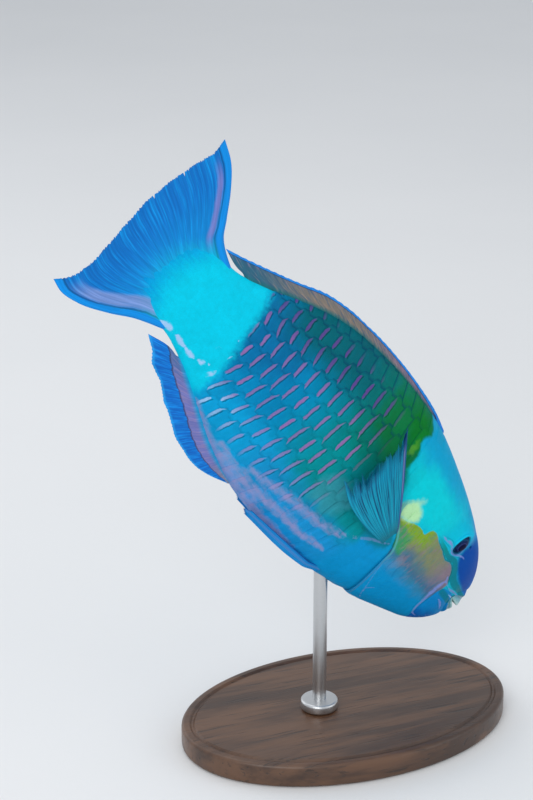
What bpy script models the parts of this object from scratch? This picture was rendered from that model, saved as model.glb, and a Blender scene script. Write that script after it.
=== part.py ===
"""A parrotfish in life size, held nose-down over a flat oval base by one steel rod.

World frame: metres, +Z up, origin on the floor under the middle of the base.
Fish frame: +X runs ahead from the snout tip, +Y to the fish's left, +Z out of its back.
Every fish shape is made straight in the fish frame, then bent on to the curved spine, and
hangs from one empty that pitches the whole fish nose-down.
"""

import math

import bmesh
import bpy
import numpy as np
from mathutils import Vector

# Pose of the fish
NOSE_DOWN = math.radians(52)
SNOUT_AHEAD = 0.080
SNOUT_HEIGHT = 0.066
SPINE_RADIUS = 1.5
SPINE_MIDDLE = -0.14

# Trunk and tail stem, a row for each station behind the snout tip
FACE_END = 0.030
STATIONS = np.array(
    [
        # behind, back, belly, half width, widest level, back ridge, belly ridge
        (0.030, 0.0293, 0.0385, 0.0156, -0.0030, 1.02, 1.00),
        (0.050, 0.0373, 0.0455, 0.0203, -0.0025, 1.04, 1.00),
        (0.075, 0.0451, 0.0525, 0.0245, -0.0030, 1.08, 1.00),
        (0.105, 0.0525, 0.0582, 0.0255, -0.0040, 1.15, 1.02),
        (0.140, 0.0548, 0.0602, 0.0237, -0.0035, 1.20, 1.08),
        (0.170, 0.0532, 0.0586, 0.0203, -0.0030, 1.22, 1.15),
        (0.200, 0.0478, 0.0512, 0.0158, -0.0028, 1.22, 1.20),
        (0.225, 0.0380, 0.0412, 0.0118, -0.0030, 1.20, 1.20),
        (0.248, 0.0266, 0.0328, 0.0084, -0.0038, 1.15, 1.15),
        (0.265, 0.0208, 0.0287, 0.0060, -0.0042, 1.10, 1.10),
        (0.282, 0.0214, 0.0292, 0.0026, -0.0040, 1.00, 1.00),
        (0.292, 0.0217, 0.0297, 0.0016, -0.0040, 1.00, 1.00),
    ]
)
RING_POINTS = 40
FACE_RINGS = 10
BODY_RINGS = 30

# Mouth opening, whose rim the face grows from
MOUTH_CORNER = Vector((-0.0150, 0.0085, -0.0060))
UPPER_LIP = Vector((-0.0016, 0.0, -0.0022))
LOWER_LIP = Vector((-0.0035, 0.0, -0.0130))
MOUTH_DEPTH = 0.010
MOUTH_CORNER_POWER = 1.6
MOUTH_FLOOR = ((1.0, 0.35), (0.5, 0.85))
LIP_TURN_UP = Vector((0.0060, 0.0, 0.0430))
LIP_TURN_SIDE = Vector((-0.0080, 0.0120, 0.0))
LIP_TURN_DOWN = Vector((-0.0010, 0.0, -0.0300))
FACE_REACH = 0.036

# Beak plates, which close on the bite level at the mouth's corners and part in front
BEAK_THICKNESS = 0.0016
BEAK_GAP = 0.0006
BEAK_DROP = 0.0007
BITE_LEVEL = -0.0086
BITE_GAP_FRONT, BITE_GAP_SIDE = 0.0028, 0.0006
BEAK_LEAN = 0.0012
BEAK_SPAN = math.radians(68)
BEAK_INWARD = 1.2
BEAK_EDGE_BEVEL = 0.94
BEAK_STEPS = 12

# Eyes
EYE_RADIUS = 0.0072
EYE_BEHIND = 0.0460
EYE_HEIGHT = 0.0158
EYE_OUT = 0.0130
EYE_SEGMENTS, EYE_RINGS = 18, 10

# Cuts between the parts of the body, as points (ahead, up) from back to belly
CUT = 0.0003
GILL_EDGE = (
    (-0.0900, 0.0900),
    (-0.0900, 0.0480),
    (-0.0910, 0.0260),
    (-0.0970, 0.0140),
    (-0.1005, 0.0055),
    (-0.0985, -0.0005),
    (-0.0925, -0.0050),
    (-0.0865, -0.0110),
    (-0.0825, -0.0170),
    (-0.0810, -0.0235),
    (-0.0790, -0.0310),
    (-0.0760, -0.0385),
    (-0.0720, -0.0460),
    (-0.0660, -0.0530),
    (-0.0610, -0.0900),
)
JAW_EDGE = (
    (-0.0160, -0.0060),
    (-0.0230, -0.0058),
    (-0.0290, -0.0078),
    (-0.0308, -0.0150),
    (-0.0298, -0.0235),
    (-0.0262, -0.0300),
    (-0.0225, -0.0370),
    (-0.0200, -0.0900),
)
GILL_STEPS, JAW_STEPS, TAIL_BASE_STEPS = 26, 14, 20
STEM_CUT = -0.252
TAIL_BASE_MIDDLE = -0.2840
TAIL_BASE_CURVE = 0.0125
TAIL_BASE_HALF = 0.026
TAIL_BASE_LEVEL = -0.004
REGION_REACH = 0.060
REGION_AHEAD = 0.03
REGION_HIGH = 0.09

# Fins on the middle plane: margins and free edges as points (ahead, up)
FIN_GAP = 0.0004
FIN_TIP_WEIGHT = 0.05
DORSAL_FROM, DORSAL_TO = 0.1000, 0.2540
DORSAL_MARGIN = (
    (-0.1005, 0.0528),
    (-0.1120, 0.0556),
    (-0.1350, 0.0581),
    (-0.1600, 0.0588),
    (-0.1850, 0.0573),
    (-0.2020, 0.0550),
    (-0.2180, 0.0508),
    (-0.2350, 0.0426),
    (-0.2550, 0.0338),
    (-0.2770, 0.0248),
)
DORSAL_REAR = (-0.2650, 0.0228)
ANAL_FROM, ANAL_TO = 0.1730, 0.2460
ANAL_MARGIN = (
    (-0.1735, -0.0580),
    (-0.1850, -0.0630),
    (-0.2000, -0.0655),
    (-0.2150, -0.0632),
    (-0.2300, -0.0572),
    (-0.2455, -0.0502),
    (-0.2590, -0.0446),
    (-0.2712, -0.0358),
)
ANAL_REAR = (-0.2580, -0.0322)
TAIL_TOP, TAIL_BOTTOM = 0.0224, -0.0300
TAIL_MARGIN = (
    (-0.3218, 0.0617),
    (-0.3208, 0.0530),
    (-0.3236, 0.0400),
    (-0.3258, 0.0200),
    (-0.3256, 0.0030),
    (-0.3236, -0.0150),
    (-0.3222, -0.0350),
    (-0.3240, -0.0455),
    (-0.3287, -0.0532),
)
TAIL_UPPER = (
    (-0.2805, 0.0262),
    (-0.2888, 0.0355),
    (-0.2988, 0.0468),
    (-0.3108, 0.0568),
    TAIL_MARGIN[0],
)
TAIL_LOWER = (
    (-0.2820, -0.0352),
    (-0.2955, -0.0443),
    (-0.3110, -0.0524),
    (-0.3212, -0.0547),
    TAIL_MARGIN[-1],
)

# Paired fins on the left side, as points (ahead, out, up): base, margin, leading and trailing edges
PECTORAL = (
    ((-0.0898, 0.0268, -0.0085), (-0.0898, 0.0268, -0.0175)),
    (
        (-0.1434, 0.0365, 0.0335),
        (-0.1405, 0.0355, 0.0215),
        (-0.1390, 0.0345, 0.0100),
        (-0.1415, 0.0332, -0.0005),
        (-0.1435, 0.0315, -0.0114),
    ),
    ((-0.0898, 0.0268, -0.0085), (-0.1150, 0.0330, 0.0118), (-0.1434, 0.0365, 0.0335)),
    (
        (-0.0898, 0.0268, -0.0175),
        (-0.1140, 0.0290, -0.0192),
        (-0.1310, 0.0305, -0.0170),
        (-0.1435, 0.0315, -0.0114),
    ),
)
PELVIC = (
    ((-0.0980, 0.0104, -0.0541), (-0.0972, 0.0084, -0.0578)),
    ((-0.1570, 0.0092, -0.0590), (-0.1610, 0.0087, -0.0613), (-0.1575, 0.0083, -0.0632)),
    ((-0.0980, 0.0104, -0.0541), (-0.1280, 0.0106, -0.0568), (-0.1570, 0.0092, -0.0590)),
    ((-0.0972, 0.0084, -0.0578), (-0.1200, 0.0087, -0.0614), (-0.1575, 0.0083, -0.0632)),
)
LEFT_PELVIC_LIFT = 0.045

# Each fin's grid (across, outward), its thickness at the base and the share of that left at its margin
FIN_BUILD = {
    "dorsal": ((26, 3), 0.0022, 0.30),
    "anal": ((18, 4), 0.0022, 0.30),
    "tail": ((20, 7), 0.0034, 0.22),
    "pectoral": ((10, 7), 0.0016, 0.42),
    "pelvic": ((4, 8), 0.0012, 0.42),
}

# Stand
BASE_LENGTH, BASE_WIDTH, BASE_HEIGHT = 0.200, 0.130, 0.014
BASE_BEVEL = 0.003
BASE_SIDES, ROD_SIDES = 48, 32
ROD_RADIUS = 0.004
ROD_BEHIND = 0.086
ROD_DEPTH = 0.012
COLLAR_RADIUS, COLLAR_HEIGHT = 0.011, 0.006
SOCKET_CLEARANCE = 0.0003


def clear_scene():
    for obj in list(bpy.data.objects):
        bpy.data.objects.remove(obj, do_unlink=True)


def new_collection(name, rendered=True):
    group = bpy.data.collections.new(name)
    group.hide_render = not rendered
    bpy.context.scene.collection.children.link(group)
    return group


def material(name, colour, roughness, metallic=0.0):
    made = bpy.data.materials.new(name)
    made.use_nodes = True
    shader = made.node_tree.nodes["Principled BSDF"]
    shader.inputs["Base Color"].default_value = (*colour, 1.0)
    shader.inputs["Roughness"].default_value = roughness
    shader.inputs["Metallic"].default_value = metallic
    return made


def bent(point):
    """A point of the straight fish, carried on to its curved spine."""
    turn = (point[0] - SPINE_MIDDLE) / SPINE_RADIUS
    reach = SPINE_RADIUS - point[1]
    ahead = SPINE_MIDDLE + reach * math.sin(turn)
    return Vector((ahead, SPINE_RADIUS - reach * math.cos(turn), point[2]))


def posed(point):
    """The world place of a point in the fish frame."""
    p = bent(point)
    cos, sin = math.cos(NOSE_DOWN), math.sin(NOSE_DOWN)
    return Vector((SNOUT_AHEAD + cos * p.x + sin * p.z, p.y, SNOUT_HEIGHT - sin * p.x + cos * p.z))


def along(places, values, at):
    """The value at one place, on a smooth curve through all the given ones."""
    slopes = np.gradient(values, places)
    i = int(np.clip(np.searchsorted(places, at) - 1, 0, len(places) - 2))
    width = places[i + 1] - places[i]
    t = (at - places[i]) / width
    start = (1 + 2 * t) * (1 - t) ** 2 * values[i] + t * (1 - t) ** 2 * width * slopes[i]
    end = t * t * (3 - 2 * t) * values[i + 1] + t * t * (t - 1) * width * slopes[i + 1]
    return float(start + end)


def curve_through(points):
    """A function from a share of the way, 0 to 1, to a place on a smooth curve through the points."""
    p = np.array([tuple(x) for x in points], float)
    run = np.concatenate([[0.0], np.cumsum(np.linalg.norm(np.diff(p, axis=0), axis=1))])
    run /= run[-1]

    def place(share):
        return Vector([along(run, p[:, k], share) for k in range(p.shape[1])])

    return place


def station(behind):
    return [along(STATIONS[:, 0], STATIONS[:, k], behind) for k in range(1, STATIONS.shape[1])]


def section_point(behind, turn):
    """A point of the trunk's surface: turn 0 is the left flank and a quarter turn the back."""
    back, belly, half_width, level, back_ridge, belly_ridge = station(behind)
    upper = math.sin(turn) > 0
    height = back - level if upper else belly + level
    ridge = back_ridge if upper else belly_ridge
    out = math.copysign(abs(math.cos(turn)) ** ridge, math.cos(turn))
    return Vector((-behind, half_width * out, level + height * math.sin(turn)))


def mouth_rim(turn):
    """The rim of the mouth: turn 0 is its left corner and a quarter turn the middle of the upper lip."""
    lip = UPPER_LIP if math.sin(turn) > 0 else LOWER_LIP
    side, middle = math.cos(turn), abs(math.sin(turn))
    ahead = lip.x + (MOUTH_CORNER.x - lip.x) * abs(side) ** MOUTH_CORNER_POWER
    height = MOUTH_CORNER.z + (lip.z - MOUTH_CORNER.z) * middle
    return Vector((ahead, MOUTH_CORNER.y * side, height))


def face_point(share, turn):
    """A point of the face, from the mouth's rim at share 0 to the first station at share 1."""
    rim, cheek = mouth_rim(turn), section_point(FACE_END, turn)
    upward = LIP_TURN_UP if math.sin(turn) > 0 else LIP_TURN_DOWN
    side = Vector((LIP_TURN_SIDE.x, math.copysign(LIP_TURN_SIDE.y, math.cos(turn)), 0.0))
    leave = side * math.cos(turn) ** 2 + upward * math.sin(turn) ** 2
    step = 0.001
    arrive = (section_point(FACE_END + step, turn) - cheek) / step * FACE_REACH
    t = share
    rim_part = rim * ((1 + 2 * t) * (1 - t) ** 2) + leave * (t * (1 - t) ** 2)
    return rim_part + cheek * (t * t * (3 - 2 * t)) + arrive * (t * t * (t - 1))


def body_rings():
    """Rings from the back of the mouth, out over the lips and along to the tail."""
    turns = [2 * math.pi * i / RING_POINTS for i in range(RING_POINTS)]
    throat = MOUTH_CORNER - Vector((MOUTH_DEPTH / 2, MOUTH_CORNER.y, 0.0))
    rings = []
    for depth, size in MOUTH_FLOOR:
        inward = Vector((-MOUTH_DEPTH * depth, 0.0, 0.0))
        rings.append([throat + (mouth_rim(t) - throat) * size + inward for t in turns])
    rings += [[face_point(k / FACE_RINGS, t) for t in turns] for k in range(FACE_RINGS)]
    for k in range(BODY_RINGS + 1):
        behind = FACE_END + (STATIONS[-1, 0] - FACE_END) * k / BODY_RINGS
        rings.append([section_point(behind, t) for t in turns])
    return rings


def lofted(name, rings):
    """A closed mesh through rings of equally many points, with flat ends."""
    bm = bmesh.new()
    rows = [[bm.verts.new(bent(p)) for p in ring] for ring in rings]
    count = len(rows[0])
    for near, far in zip(rows, rows[1:]):
        for i in range(count):
            j = (i + 1) % count
            bm.faces.new((near[i], near[j], far[j], far[i]))
    bm.faces.new(rows[0][::-1])
    bm.faces.new(rows[-1])
    bmesh.ops.recalc_face_normals(bm, faces=bm.faces)
    mesh = bpy.data.meshes.new(name)
    bm.to_mesh(mesh)
    bm.free()
    return mesh


def move_to(obj, group):
    for other in list(obj.users_collection):
        other.objects.unlink(obj)
    group.objects.link(obj)


def as_cutter(obj):
    obj.hide_render = True
    obj.display_type = "WIRE"
    return obj


def add_part(name, mesh, group, parent=None, paint=None, smooth=True):
    obj = bpy.data.objects.new(name, mesh)
    group.objects.link(obj)
    obj.parent = parent
    if paint:
        mesh.materials.append(paint)
    if smooth:
        mesh.shade_smooth()
    return obj


def side_prism(name, outline, group, parent):
    """A block with this outline (ahead, up) in side view, right through the fish."""
    bm = bmesh.new()
    verts = [bm.verts.new((x, -REGION_REACH, z)) for x, z in outline]
    face = bm.faces.new(verts)
    grown = bmesh.ops.extrude_face_region(bm, geom=[face])["geom"]
    for vert in (g for g in grown if isinstance(g, bmesh.types.BMVert)):
        vert.co.y = REGION_REACH
    for vert in bm.verts:
        vert.co = bent(vert.co)
    bmesh.ops.recalc_face_normals(bm, faces=bm.faces)
    mesh = bpy.data.meshes.new(name)
    bm.to_mesh(mesh)
    bm.free()
    return as_cutter(add_part(name, mesh, group, parent, smooth=False))


def boolean(obj, cutter, operation):
    modifier = obj.modifiers.new(operation.title(), "BOOLEAN")
    modifier.operation = operation
    modifier.solver = "EXACT"
    modifier.object = cutter
    return modifier


def edge_line(points, steps, aside=0.0):
    """Points along a smooth cut, moved aside (to the right of its run) by the given distance."""
    line = curve_through(points)
    near = 0.001
    moved = []
    for k in range(steps + 1):
        share = k / steps
        run = line(min(share + near, 1.0)) - line(max(share - near, 0.0))
        place = line(share) + Vector((run.y, -run.x)).normalized() * aside
        moved.append((place.x, place.y))
    return moved


def tail_base_ahead(height):
    share = (height - TAIL_BASE_LEVEL) / TAIL_BASE_HALF
    return TAIL_BASE_MIDDLE + TAIL_BASE_CURVE * share * share


def add_flesh(group, cutters, fish, skin, eyes):
    """The head, lower jaw, trunk and tail stem, parted from one lofted body by thin cuts."""
    body = lofted("body", body_rings())
    ahead, high = REGION_AHEAD, REGION_HIGH
    gill = edge_line(GILL_EDGE, GILL_STEPS)
    behind_gill = edge_line(GILL_EDGE, GILL_STEPS, CUT)
    jaw = edge_line(JAW_EDGE, JAW_STEPS)
    round_jaw = edge_line(JAW_EDGE, JAW_STEPS, CUT)
    stem_heights = [high / 2 - high * k / TAIL_BASE_STEPS for k in range(TAIL_BASE_STEPS + 1)]
    outlines = {
        "head": [(ahead, high), (ahead, round_jaw[0][1])] + round_jaw + gill[::-1],
        "lower_jaw": [(ahead, jaw[-1][1]), (ahead, jaw[0][1])] + jaw,
        "trunk": behind_gill + [(STEM_CUT, -high), (STEM_CUT, high)],
        "tail_stem": [(STEM_CUT - CUT, high / 2), (STEM_CUT - CUT, -high / 2)]
        + [(tail_base_ahead(z), z) for z in stem_heights[::-1]],
    }
    made = {}
    for name, outline in outlines.items():
        part = add_part(name, body.copy(), group, fish, skin)
        boolean(part, side_prism(name + "_region", outline, cutters, fish), "INTERSECT")
        made[name] = part
    for eye in eyes:
        boolean(made["head"], eye_socket(eye, cutters, fish), "DIFFERENCE")
    return made


def eyeball(name, radius, centre, group, fish):
    """A sphere with its poles to the sides of the fish."""
    bpy.ops.mesh.primitive_uv_sphere_add(segments=EYE_SEGMENTS, ring_count=EYE_RINGS, radius=radius)
    ball = bpy.context.object
    ball.name = name
    move_to(ball, group)
    ball.parent = fish
    ball.location = centre
    ball.rotation_euler = (math.pi / 2, 0.0, 0.0)
    return ball


def add_eyes(group, fish, paint):
    eyes = []
    for side, label in ((1, "left"), (-1, "right")):
        centre = bent(Vector((-EYE_BEHIND, side * EYE_OUT, EYE_HEIGHT)))
        eye = eyeball("eye_" + label, EYE_RADIUS, centre, group, fish)
        eye.data.materials.append(paint)
        eye.data.shade_smooth()
        eyes.append(eye)
    return eyes


def eye_socket(eye, cutters, fish):
    return as_cutter(eyeball(eye.name + "_socket", EYE_RADIUS + CUT, eye.location, cutters, fish))


def add_beak(name, upper, group, fish, paint):
    """One jaw's fused teeth: a plate bent round the inside of the lip, with an open bite in front."""
    up = 1 if upper else -1
    rings = []
    for k in range(BEAK_STEPS + 1):
        turn = math.pi / 2 - BEAK_SPAN + 2 * BEAK_SPAN * k / BEAK_STEPS
        side_share = 1 - (math.sin(turn) - math.cos(BEAK_SPAN)) / (1 - math.cos(BEAK_SPAN))
        lips_middle = (mouth_rim(turn).z + mouth_rim(-turn).z) / 2
        level = BITE_LEVEL + (lips_middle - BITE_LEVEL) * side_share
        gap = BITE_GAP_FRONT + (BITE_GAP_SIDE - BITE_GAP_FRONT) * side_share
        root = mouth_rim(turn * up) - Vector((0.0, 0.0, BEAK_DROP * up))
        inward = Vector((-1.0, -BEAK_INWARD * math.cos(turn), 0.0)).normalized()
        fall = Vector((BEAK_LEAN * (1 - side_share), 0.0, level + up * gap / 2 - root.z))
        outer, inner = root + inward * BEAK_GAP, root + inward * (BEAK_GAP + BEAK_THICKNESS)
        rings.append([outer, outer + fall, inner + fall * BEAK_EDGE_BEVEL, inner])
    return add_part(name, lofted(name, rings), group, fish, paint, smooth=False)


def fin_patch(name, edges, build, group, fish, paint):
    """A fin between four edges (base, margin, leading, trailing), solid and thinning outwards."""
    (across, outward), thickness, margin_share = build
    base, margin, leading, trailing = (e if callable(e) else curve_through(e) for e in edges)
    corners = base(0.0), base(1.0), margin(0.0), margin(1.0)
    bpy.ops.mesh.primitive_grid_add(x_subdivisions=across, y_subdivisions=outward, size=2)
    fin = bpy.context.object
    fin.name = name
    fin.data.name = name
    move_to(fin, group)
    weights = fin.vertex_groups.new(name="thickness")
    for vert in fin.data.vertices:
        u, v = (vert.co.x + 1) / 2, (vert.co.y + 1) / 2
        ends = leading(v) * (1 - u) + trailing(v) * u
        rails = base(u) * (1 - v) + margin(u) * v
        inner = corners[0] * (1 - u) + corners[1] * u
        outer = corners[2] * (1 - u) + corners[3] * u
        vert.co = bent(rails + ends - (inner * (1 - v) + outer * v))
        weights.add([vert.index], 1.0 - (1.0 - FIN_TIP_WEIGHT) * v, "REPLACE")
    solid = fin.modifiers.new("Thickness", "SOLIDIFY")
    solid.thickness = thickness
    solid.offset = 0.0
    solid.vertex_group = "thickness"
    solid.thickness_vertex_group = margin_share
    fin.parent = fish
    fin.data.materials.append(paint)
    fin.data.shade_smooth()
    return fin


def flat(points):
    return [Vector((x, 0.0, z)) for x, z in points]


def dorsal_base(share):
    behind = DORSAL_FROM + (DORSAL_TO - DORSAL_FROM) * share
    return Vector((-behind, 0.0, station(behind)[0] + FIN_GAP))


def anal_base(share):
    behind = ANAL_FROM + (ANAL_TO - ANAL_FROM) * share
    return Vector((-behind, 0.0, -station(behind)[1] - FIN_GAP))


def tail_base(share):
    height = TAIL_TOP + (TAIL_BOTTOM - TAIL_TOP) * share
    return Vector((tail_base_ahead(height) - FIN_GAP, 0.0, height))


def add_middle_fins(group, fish, paint):
    """The dorsal, anal and tail fins, which stand on the fish's middle plane."""
    dorsal, anal, tail = flat(DORSAL_MARGIN), flat(ANAL_MARGIN), flat(TAIL_MARGIN)
    fins = {
        "dorsal": (
            dorsal_base,
            dorsal,
            [dorsal_base(0.0), dorsal[0]],
            [dorsal_base(1.0)] + flat([DORSAL_REAR]) + dorsal[-1:],
        ),
        "anal": (
            anal_base,
            anal,
            [anal_base(0.0), anal[0]],
            [anal_base(1.0)] + flat([ANAL_REAR]) + anal[-1:],
        ),
        "tail": (
            tail_base,
            tail,
            [tail_base(0.0)] + flat(TAIL_UPPER),
            [tail_base(1.0)] + flat(TAIL_LOWER),
        ),
    }
    for name, edges in fins.items():
        fin_patch(name + "_fin", edges, FIN_BUILD[name], group, fish, paint)


def add_side_fins(group, fish, paint):
    """The pectoral fins, half spread on the flanks, and the pelvic fins, folded along the belly."""
    for side, label, pelvic_lift in ((1, "left", LEFT_PELVIC_LIFT), (-1, "right", 0.0)):
        for name, edges, lift in (("pectoral", PECTORAL, 0.0), ("pelvic", PELVIC, pelvic_lift)):
            root = edges[0][0][0]
            placed = [[Vector((x, side * y, z + (root - x) * lift)) for x, y, z in edge] for edge in edges]
            fin_patch(f"{name}_fin_{label}", placed, FIN_BUILD[name], group, fish, paint)


def add_stand(group, cutters, trunk, wood, steel):
    """The oval base, its collar, and the rod that stands in a socket in the belly."""
    belly = posed(section_point(ROD_BEHIND, -math.pi / 2))
    top = belly.z + ROD_DEPTH

    bpy.ops.mesh.primitive_cylinder_add(vertices=BASE_SIDES, radius=0.5, depth=BASE_HEIGHT)
    base = bpy.context.object
    base.name = "stand_base"
    for vert in base.data.vertices:
        vert.co.x *= BASE_LENGTH
        vert.co.y *= BASE_WIDTH
        vert.co.z += BASE_HEIGHT / 2
    edge = base.modifiers.new("Edge", "BEVEL")
    edge.width = BASE_BEVEL
    edge.segments = 2
    edge.limit_method = "ANGLE"
    edge.angle_limit = math.radians(60)
    base.data.materials.append(wood)

    foot = BASE_HEIGHT + CUT
    pieces = (
        ("stand_rod", ROD_RADIUS, foot, top),
        ("stand_collar", COLLAR_RADIUS, foot, foot + COLLAR_HEIGHT),
        ("rod_socket", ROD_RADIUS + SOCKET_CLEARANCE, foot, top + SOCKET_CLEARANCE),
        ("collar_hole", ROD_RADIUS + SOCKET_CLEARANCE, 0.0, foot + 2 * COLLAR_HEIGHT),
    )
    made = {"stand_base": base}
    for name, radius, low, high in pieces:
        middle = (belly.x, belly.y, (low + high) / 2)
        bpy.ops.mesh.primitive_cylinder_add(
            vertices=ROD_SIDES, radius=radius, depth=high - low, location=middle
        )
        made[name] = bpy.context.object
        made[name].name = name
        made[name].data.materials.append(steel)
    boolean(trunk, made["rod_socket"], "DIFFERENCE")
    boolean(made["stand_collar"], made["collar_hole"], "DIFFERENCE")
    for name, obj in made.items():
        if name.startswith("stand_"):
            move_to(obj, group)
        else:
            move_to(as_cutter(obj), cutters)


def main():
    clear_scene()
    group = new_collection("parrotfish")
    cutters = new_collection("cutters", rendered=False)
    fish = bpy.data.objects.new("fish_pose", None)
    fish.location = (SNOUT_AHEAD, 0.0, SNOUT_HEIGHT)
    fish.rotation_euler = (0.0, NOSE_DOWN, 0.0)
    group.objects.link(fish)

    skin = material("skin", (0.02, 0.45, 0.55), 0.4)
    fin = material("fin", (0.03, 0.25, 0.65), 0.45)
    beak = material("beak", (0.25, 0.60, 0.60), 0.3)
    eye = material("eye", (0.02, 0.03, 0.10), 0.1)
    wood = material("wood", (0.10, 0.05, 0.03), 0.45)
    steel = material("steel", (0.60, 0.60, 0.62), 0.3, 1.0)

    eyes = add_eyes(group, fish, eye)
    flesh = add_flesh(group, cutters, fish, skin, eyes)
    add_beak("upper_beak", True, group, fish, beak)
    add_beak("lower_beak", False, group, fish, beak)
    add_middle_fins(group, fish, fin)
    add_side_fins(group, fish, fin)
    add_stand(group, cutters, flesh["trunk"], wood, steel)


main()
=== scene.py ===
"""The looks of a life-size parrotfish model on its stand.

The fish is shaped straight, in its own frame in millimetres: x runs ahead from the snout tip,
y to the fish's left and z out of its back. placed() then bends and pitches every point into
the CAD frame. The same named outlines and lines, drawn in side view, shape the skin's relief
and are stored on the meshes as distances for the paint to read.
"""

import math

import bpy
import numpy as np
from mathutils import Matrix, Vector


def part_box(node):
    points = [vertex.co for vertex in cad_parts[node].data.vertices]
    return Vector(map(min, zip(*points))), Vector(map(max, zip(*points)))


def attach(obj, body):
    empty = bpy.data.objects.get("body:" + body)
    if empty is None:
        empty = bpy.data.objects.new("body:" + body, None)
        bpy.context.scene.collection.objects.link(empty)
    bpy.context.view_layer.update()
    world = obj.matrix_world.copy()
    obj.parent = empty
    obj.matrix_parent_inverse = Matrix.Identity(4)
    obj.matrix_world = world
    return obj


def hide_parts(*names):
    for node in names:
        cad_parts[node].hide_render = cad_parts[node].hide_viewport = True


# Pose, as in the CAD
NOSE_DOWN = math.radians(52)
SNOUT_AHEAD, SNOUT_HEIGHT = 80, 66
SPINE_RADIUS, SPINE_MIDDLE = 1500, -140
METRES = 0.001

# Body sections, as in the CAD with one more inside the tail fin
FACE_END = 30
STATIONS = np.array(
    [
        # behind, back, belly, half width, widest level, back ridge, belly ridge
        (30, 29.3, 38.5, 15.6, -3, 1.02, 1.00),
        (50, 37.3, 45.5, 20.3, -2.5, 1.04, 1.00),
        (75, 45.1, 52.5, 24.5, -3, 1.08, 1.00),
        (105, 52.5, 58.2, 25.5, -4, 1.15, 1.02),
        (140, 54.8, 60.2, 23.7, -3.5, 1.2, 1.08),
        (170, 53.2, 58.6, 20.3, -3, 1.22, 1.15),
        (200, 47.8, 51.2, 15.8, -2.8, 1.22, 1.2),
        (225, 38, 41.2, 11.8, -3, 1.2, 1.2),
        (248, 26.6, 32.8, 8.4, -3.8, 1.15, 1.15),
        (265, 20.8, 28.7, 6, -4.2, 1.1, 1.1),
        (282, 21.4, 29.2, 2.6, -4, 1.00, 1.00),
        (292, 21.7, 29.7, 1.6, -4, 1.00, 1.00),
        (300, 22, 30, 0.5, -4, 1.00, 1.00),
    ]
)

# Mouth and face, as in the CAD
MOUTH_CORNER = np.array((-15, 8.5, -6))
UPPER_LIP = np.array((-1.6, 0, -2.2))
LOWER_LIP = np.array((-3.5, 0, -13))
MOUTH_DEPTH = 10
MOUTH_CORNER_POWER = 1.6
MOUTH_SIZES = ((0, 0.5, 1), (1, 0.85, 0.35))
LIP_TURN_UP = np.array((6, 0, 43))
LIP_TURN_SIDE = np.array((-8, 12, 0))
LIP_TURN_DOWN = np.array((-1, 0, -30))
FACE_REACH = 36

# Beak plates, as in the CAD
BEAK_THICKNESS, BEAK_GAP, BEAK_DROP = 1.6, 0.6, 0.7
BITE_LEVEL = -8.6
BITE_GAP_FRONT, BITE_GAP_SIDE = 2.8, 0.6
BEAK_LEAN = 1.2
BEAK_SPAN = math.radians(68)
BEAK_INWARD = 1.2
BEAK_ROOT, BEAK_SOFT_EDGE = 1.6, 0.15
BEAK_TEETH, TOOTH_HEIGHT = 23, 0.12

# Eyes
EYE_RADIUS = 7.2
EYE_CENTRE = (-47.3, 13, 16.8)
EYE_GAZE = (0.38, 0.91, -0.12)
ORBIT_TUBE = 0.4
ORBIT_INNER, ORBIT_CREST, ORBIT_OUTER = 5.15, 6.5, 9.2

# Middles in side view and the ovals round them: ahead, up, unit of length, unit of height
ORBIT = (-45.4, 16.2, 0.9, 1.06)
NOSTRIL = (-35.5, 20.5, 1, 1)
FIN_PAD = (-94, -13, 7.5, 7)
BARE_PAD = (-95, -13, 10, 9)

# Rings of the skin's mesh
SEGMENTS = 224
MOUTH_RINGS, FACE_RINGS = 9, 90
HEAD_RINGS, TRUNK_RINGS = 190, 126
HEAD_END, SKIN_END = 105, 300

# How deep the skin lies when bare and under the coat, the fold on the cheek, and the gill cover's edge
BARE_DEPTH, COAT_DEPTH = 0.05, 0.45
CHEEK_FOLD = -66
GILL_COVER_ENDS, GILL_COVER_WIDTH, GILL_COVER_THICKNESS = (8, -53), 8, 0.55

# Edges in side view, as points (ahead, up) from back to belly, with the corners that close each region
GILL_EDGE = (
    (-90, 90), (-90, 48), (-91, 26), (-97, 14), (-100.5, 5.5), (-98.5, -0.5), (-92.5, -5), (-86.5, -11),
    (-82.5, -17), (-81, -23.5), (-79, -31), (-76, -38.5), (-72, -46), (-66, -53), (-61, -90),
)
JAW_EDGE = (
    (-13, -6.2), (-23, -5.8), (-29, -7.8), (-30.8, -15), (-29.8, -23.5), (-26.2, -30), (-22.5, -37),
    (-20, -90),
)
STEM_EDGE = (
    (-246, 60), (-243, 34), (-239.5, 22), (-237, 8), (-234.5, -5), (-231, -18), (-229, -34), (-226, -60),
)
NAPE_EDGE = (
    (-110, 62), (-116, 51), (-112.8, 47), (-112.6, 43.8), (-116.6, 40.6), (-117, 35.6), (-114, 31.4),
    (-114.4, 26.6), (-114.8, 21.6), (-110, 16), (-106, 6), (-104, -10), (-103, -60),
)
CHEEK_EDGE = (
    (-98, -0.5), (-91, 1), (-86, 3.5), (-80, 4.2), (-75.5, 3.6), (-72.5, 8.6), (-68.5, 9.6), (-62, 7.2),
    (-55, 5.6), (-48, 3.6), (-40.5, 4.8), (-36, 2.2), (-33, -1.5), (-30, -4),
)
CHEEK_CORNERS = (
    (-29, -14), (-33, -22), (-46, -29), (-62, -34), (-78, -32), (-81, -23), (-84, -15), (-92, -5.5),
)
SPOT_EDGE = (
    (-101, 3), (-99.5, 8), (-96.5, 11.5), (-94, 14.5), (-91, 17), (-91, 12), (-87.5, 10.5), (-86, 6),
    (-88, 2.5), (-93, 0.6), (-98, -0.8), (-101, 3),
)
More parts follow.
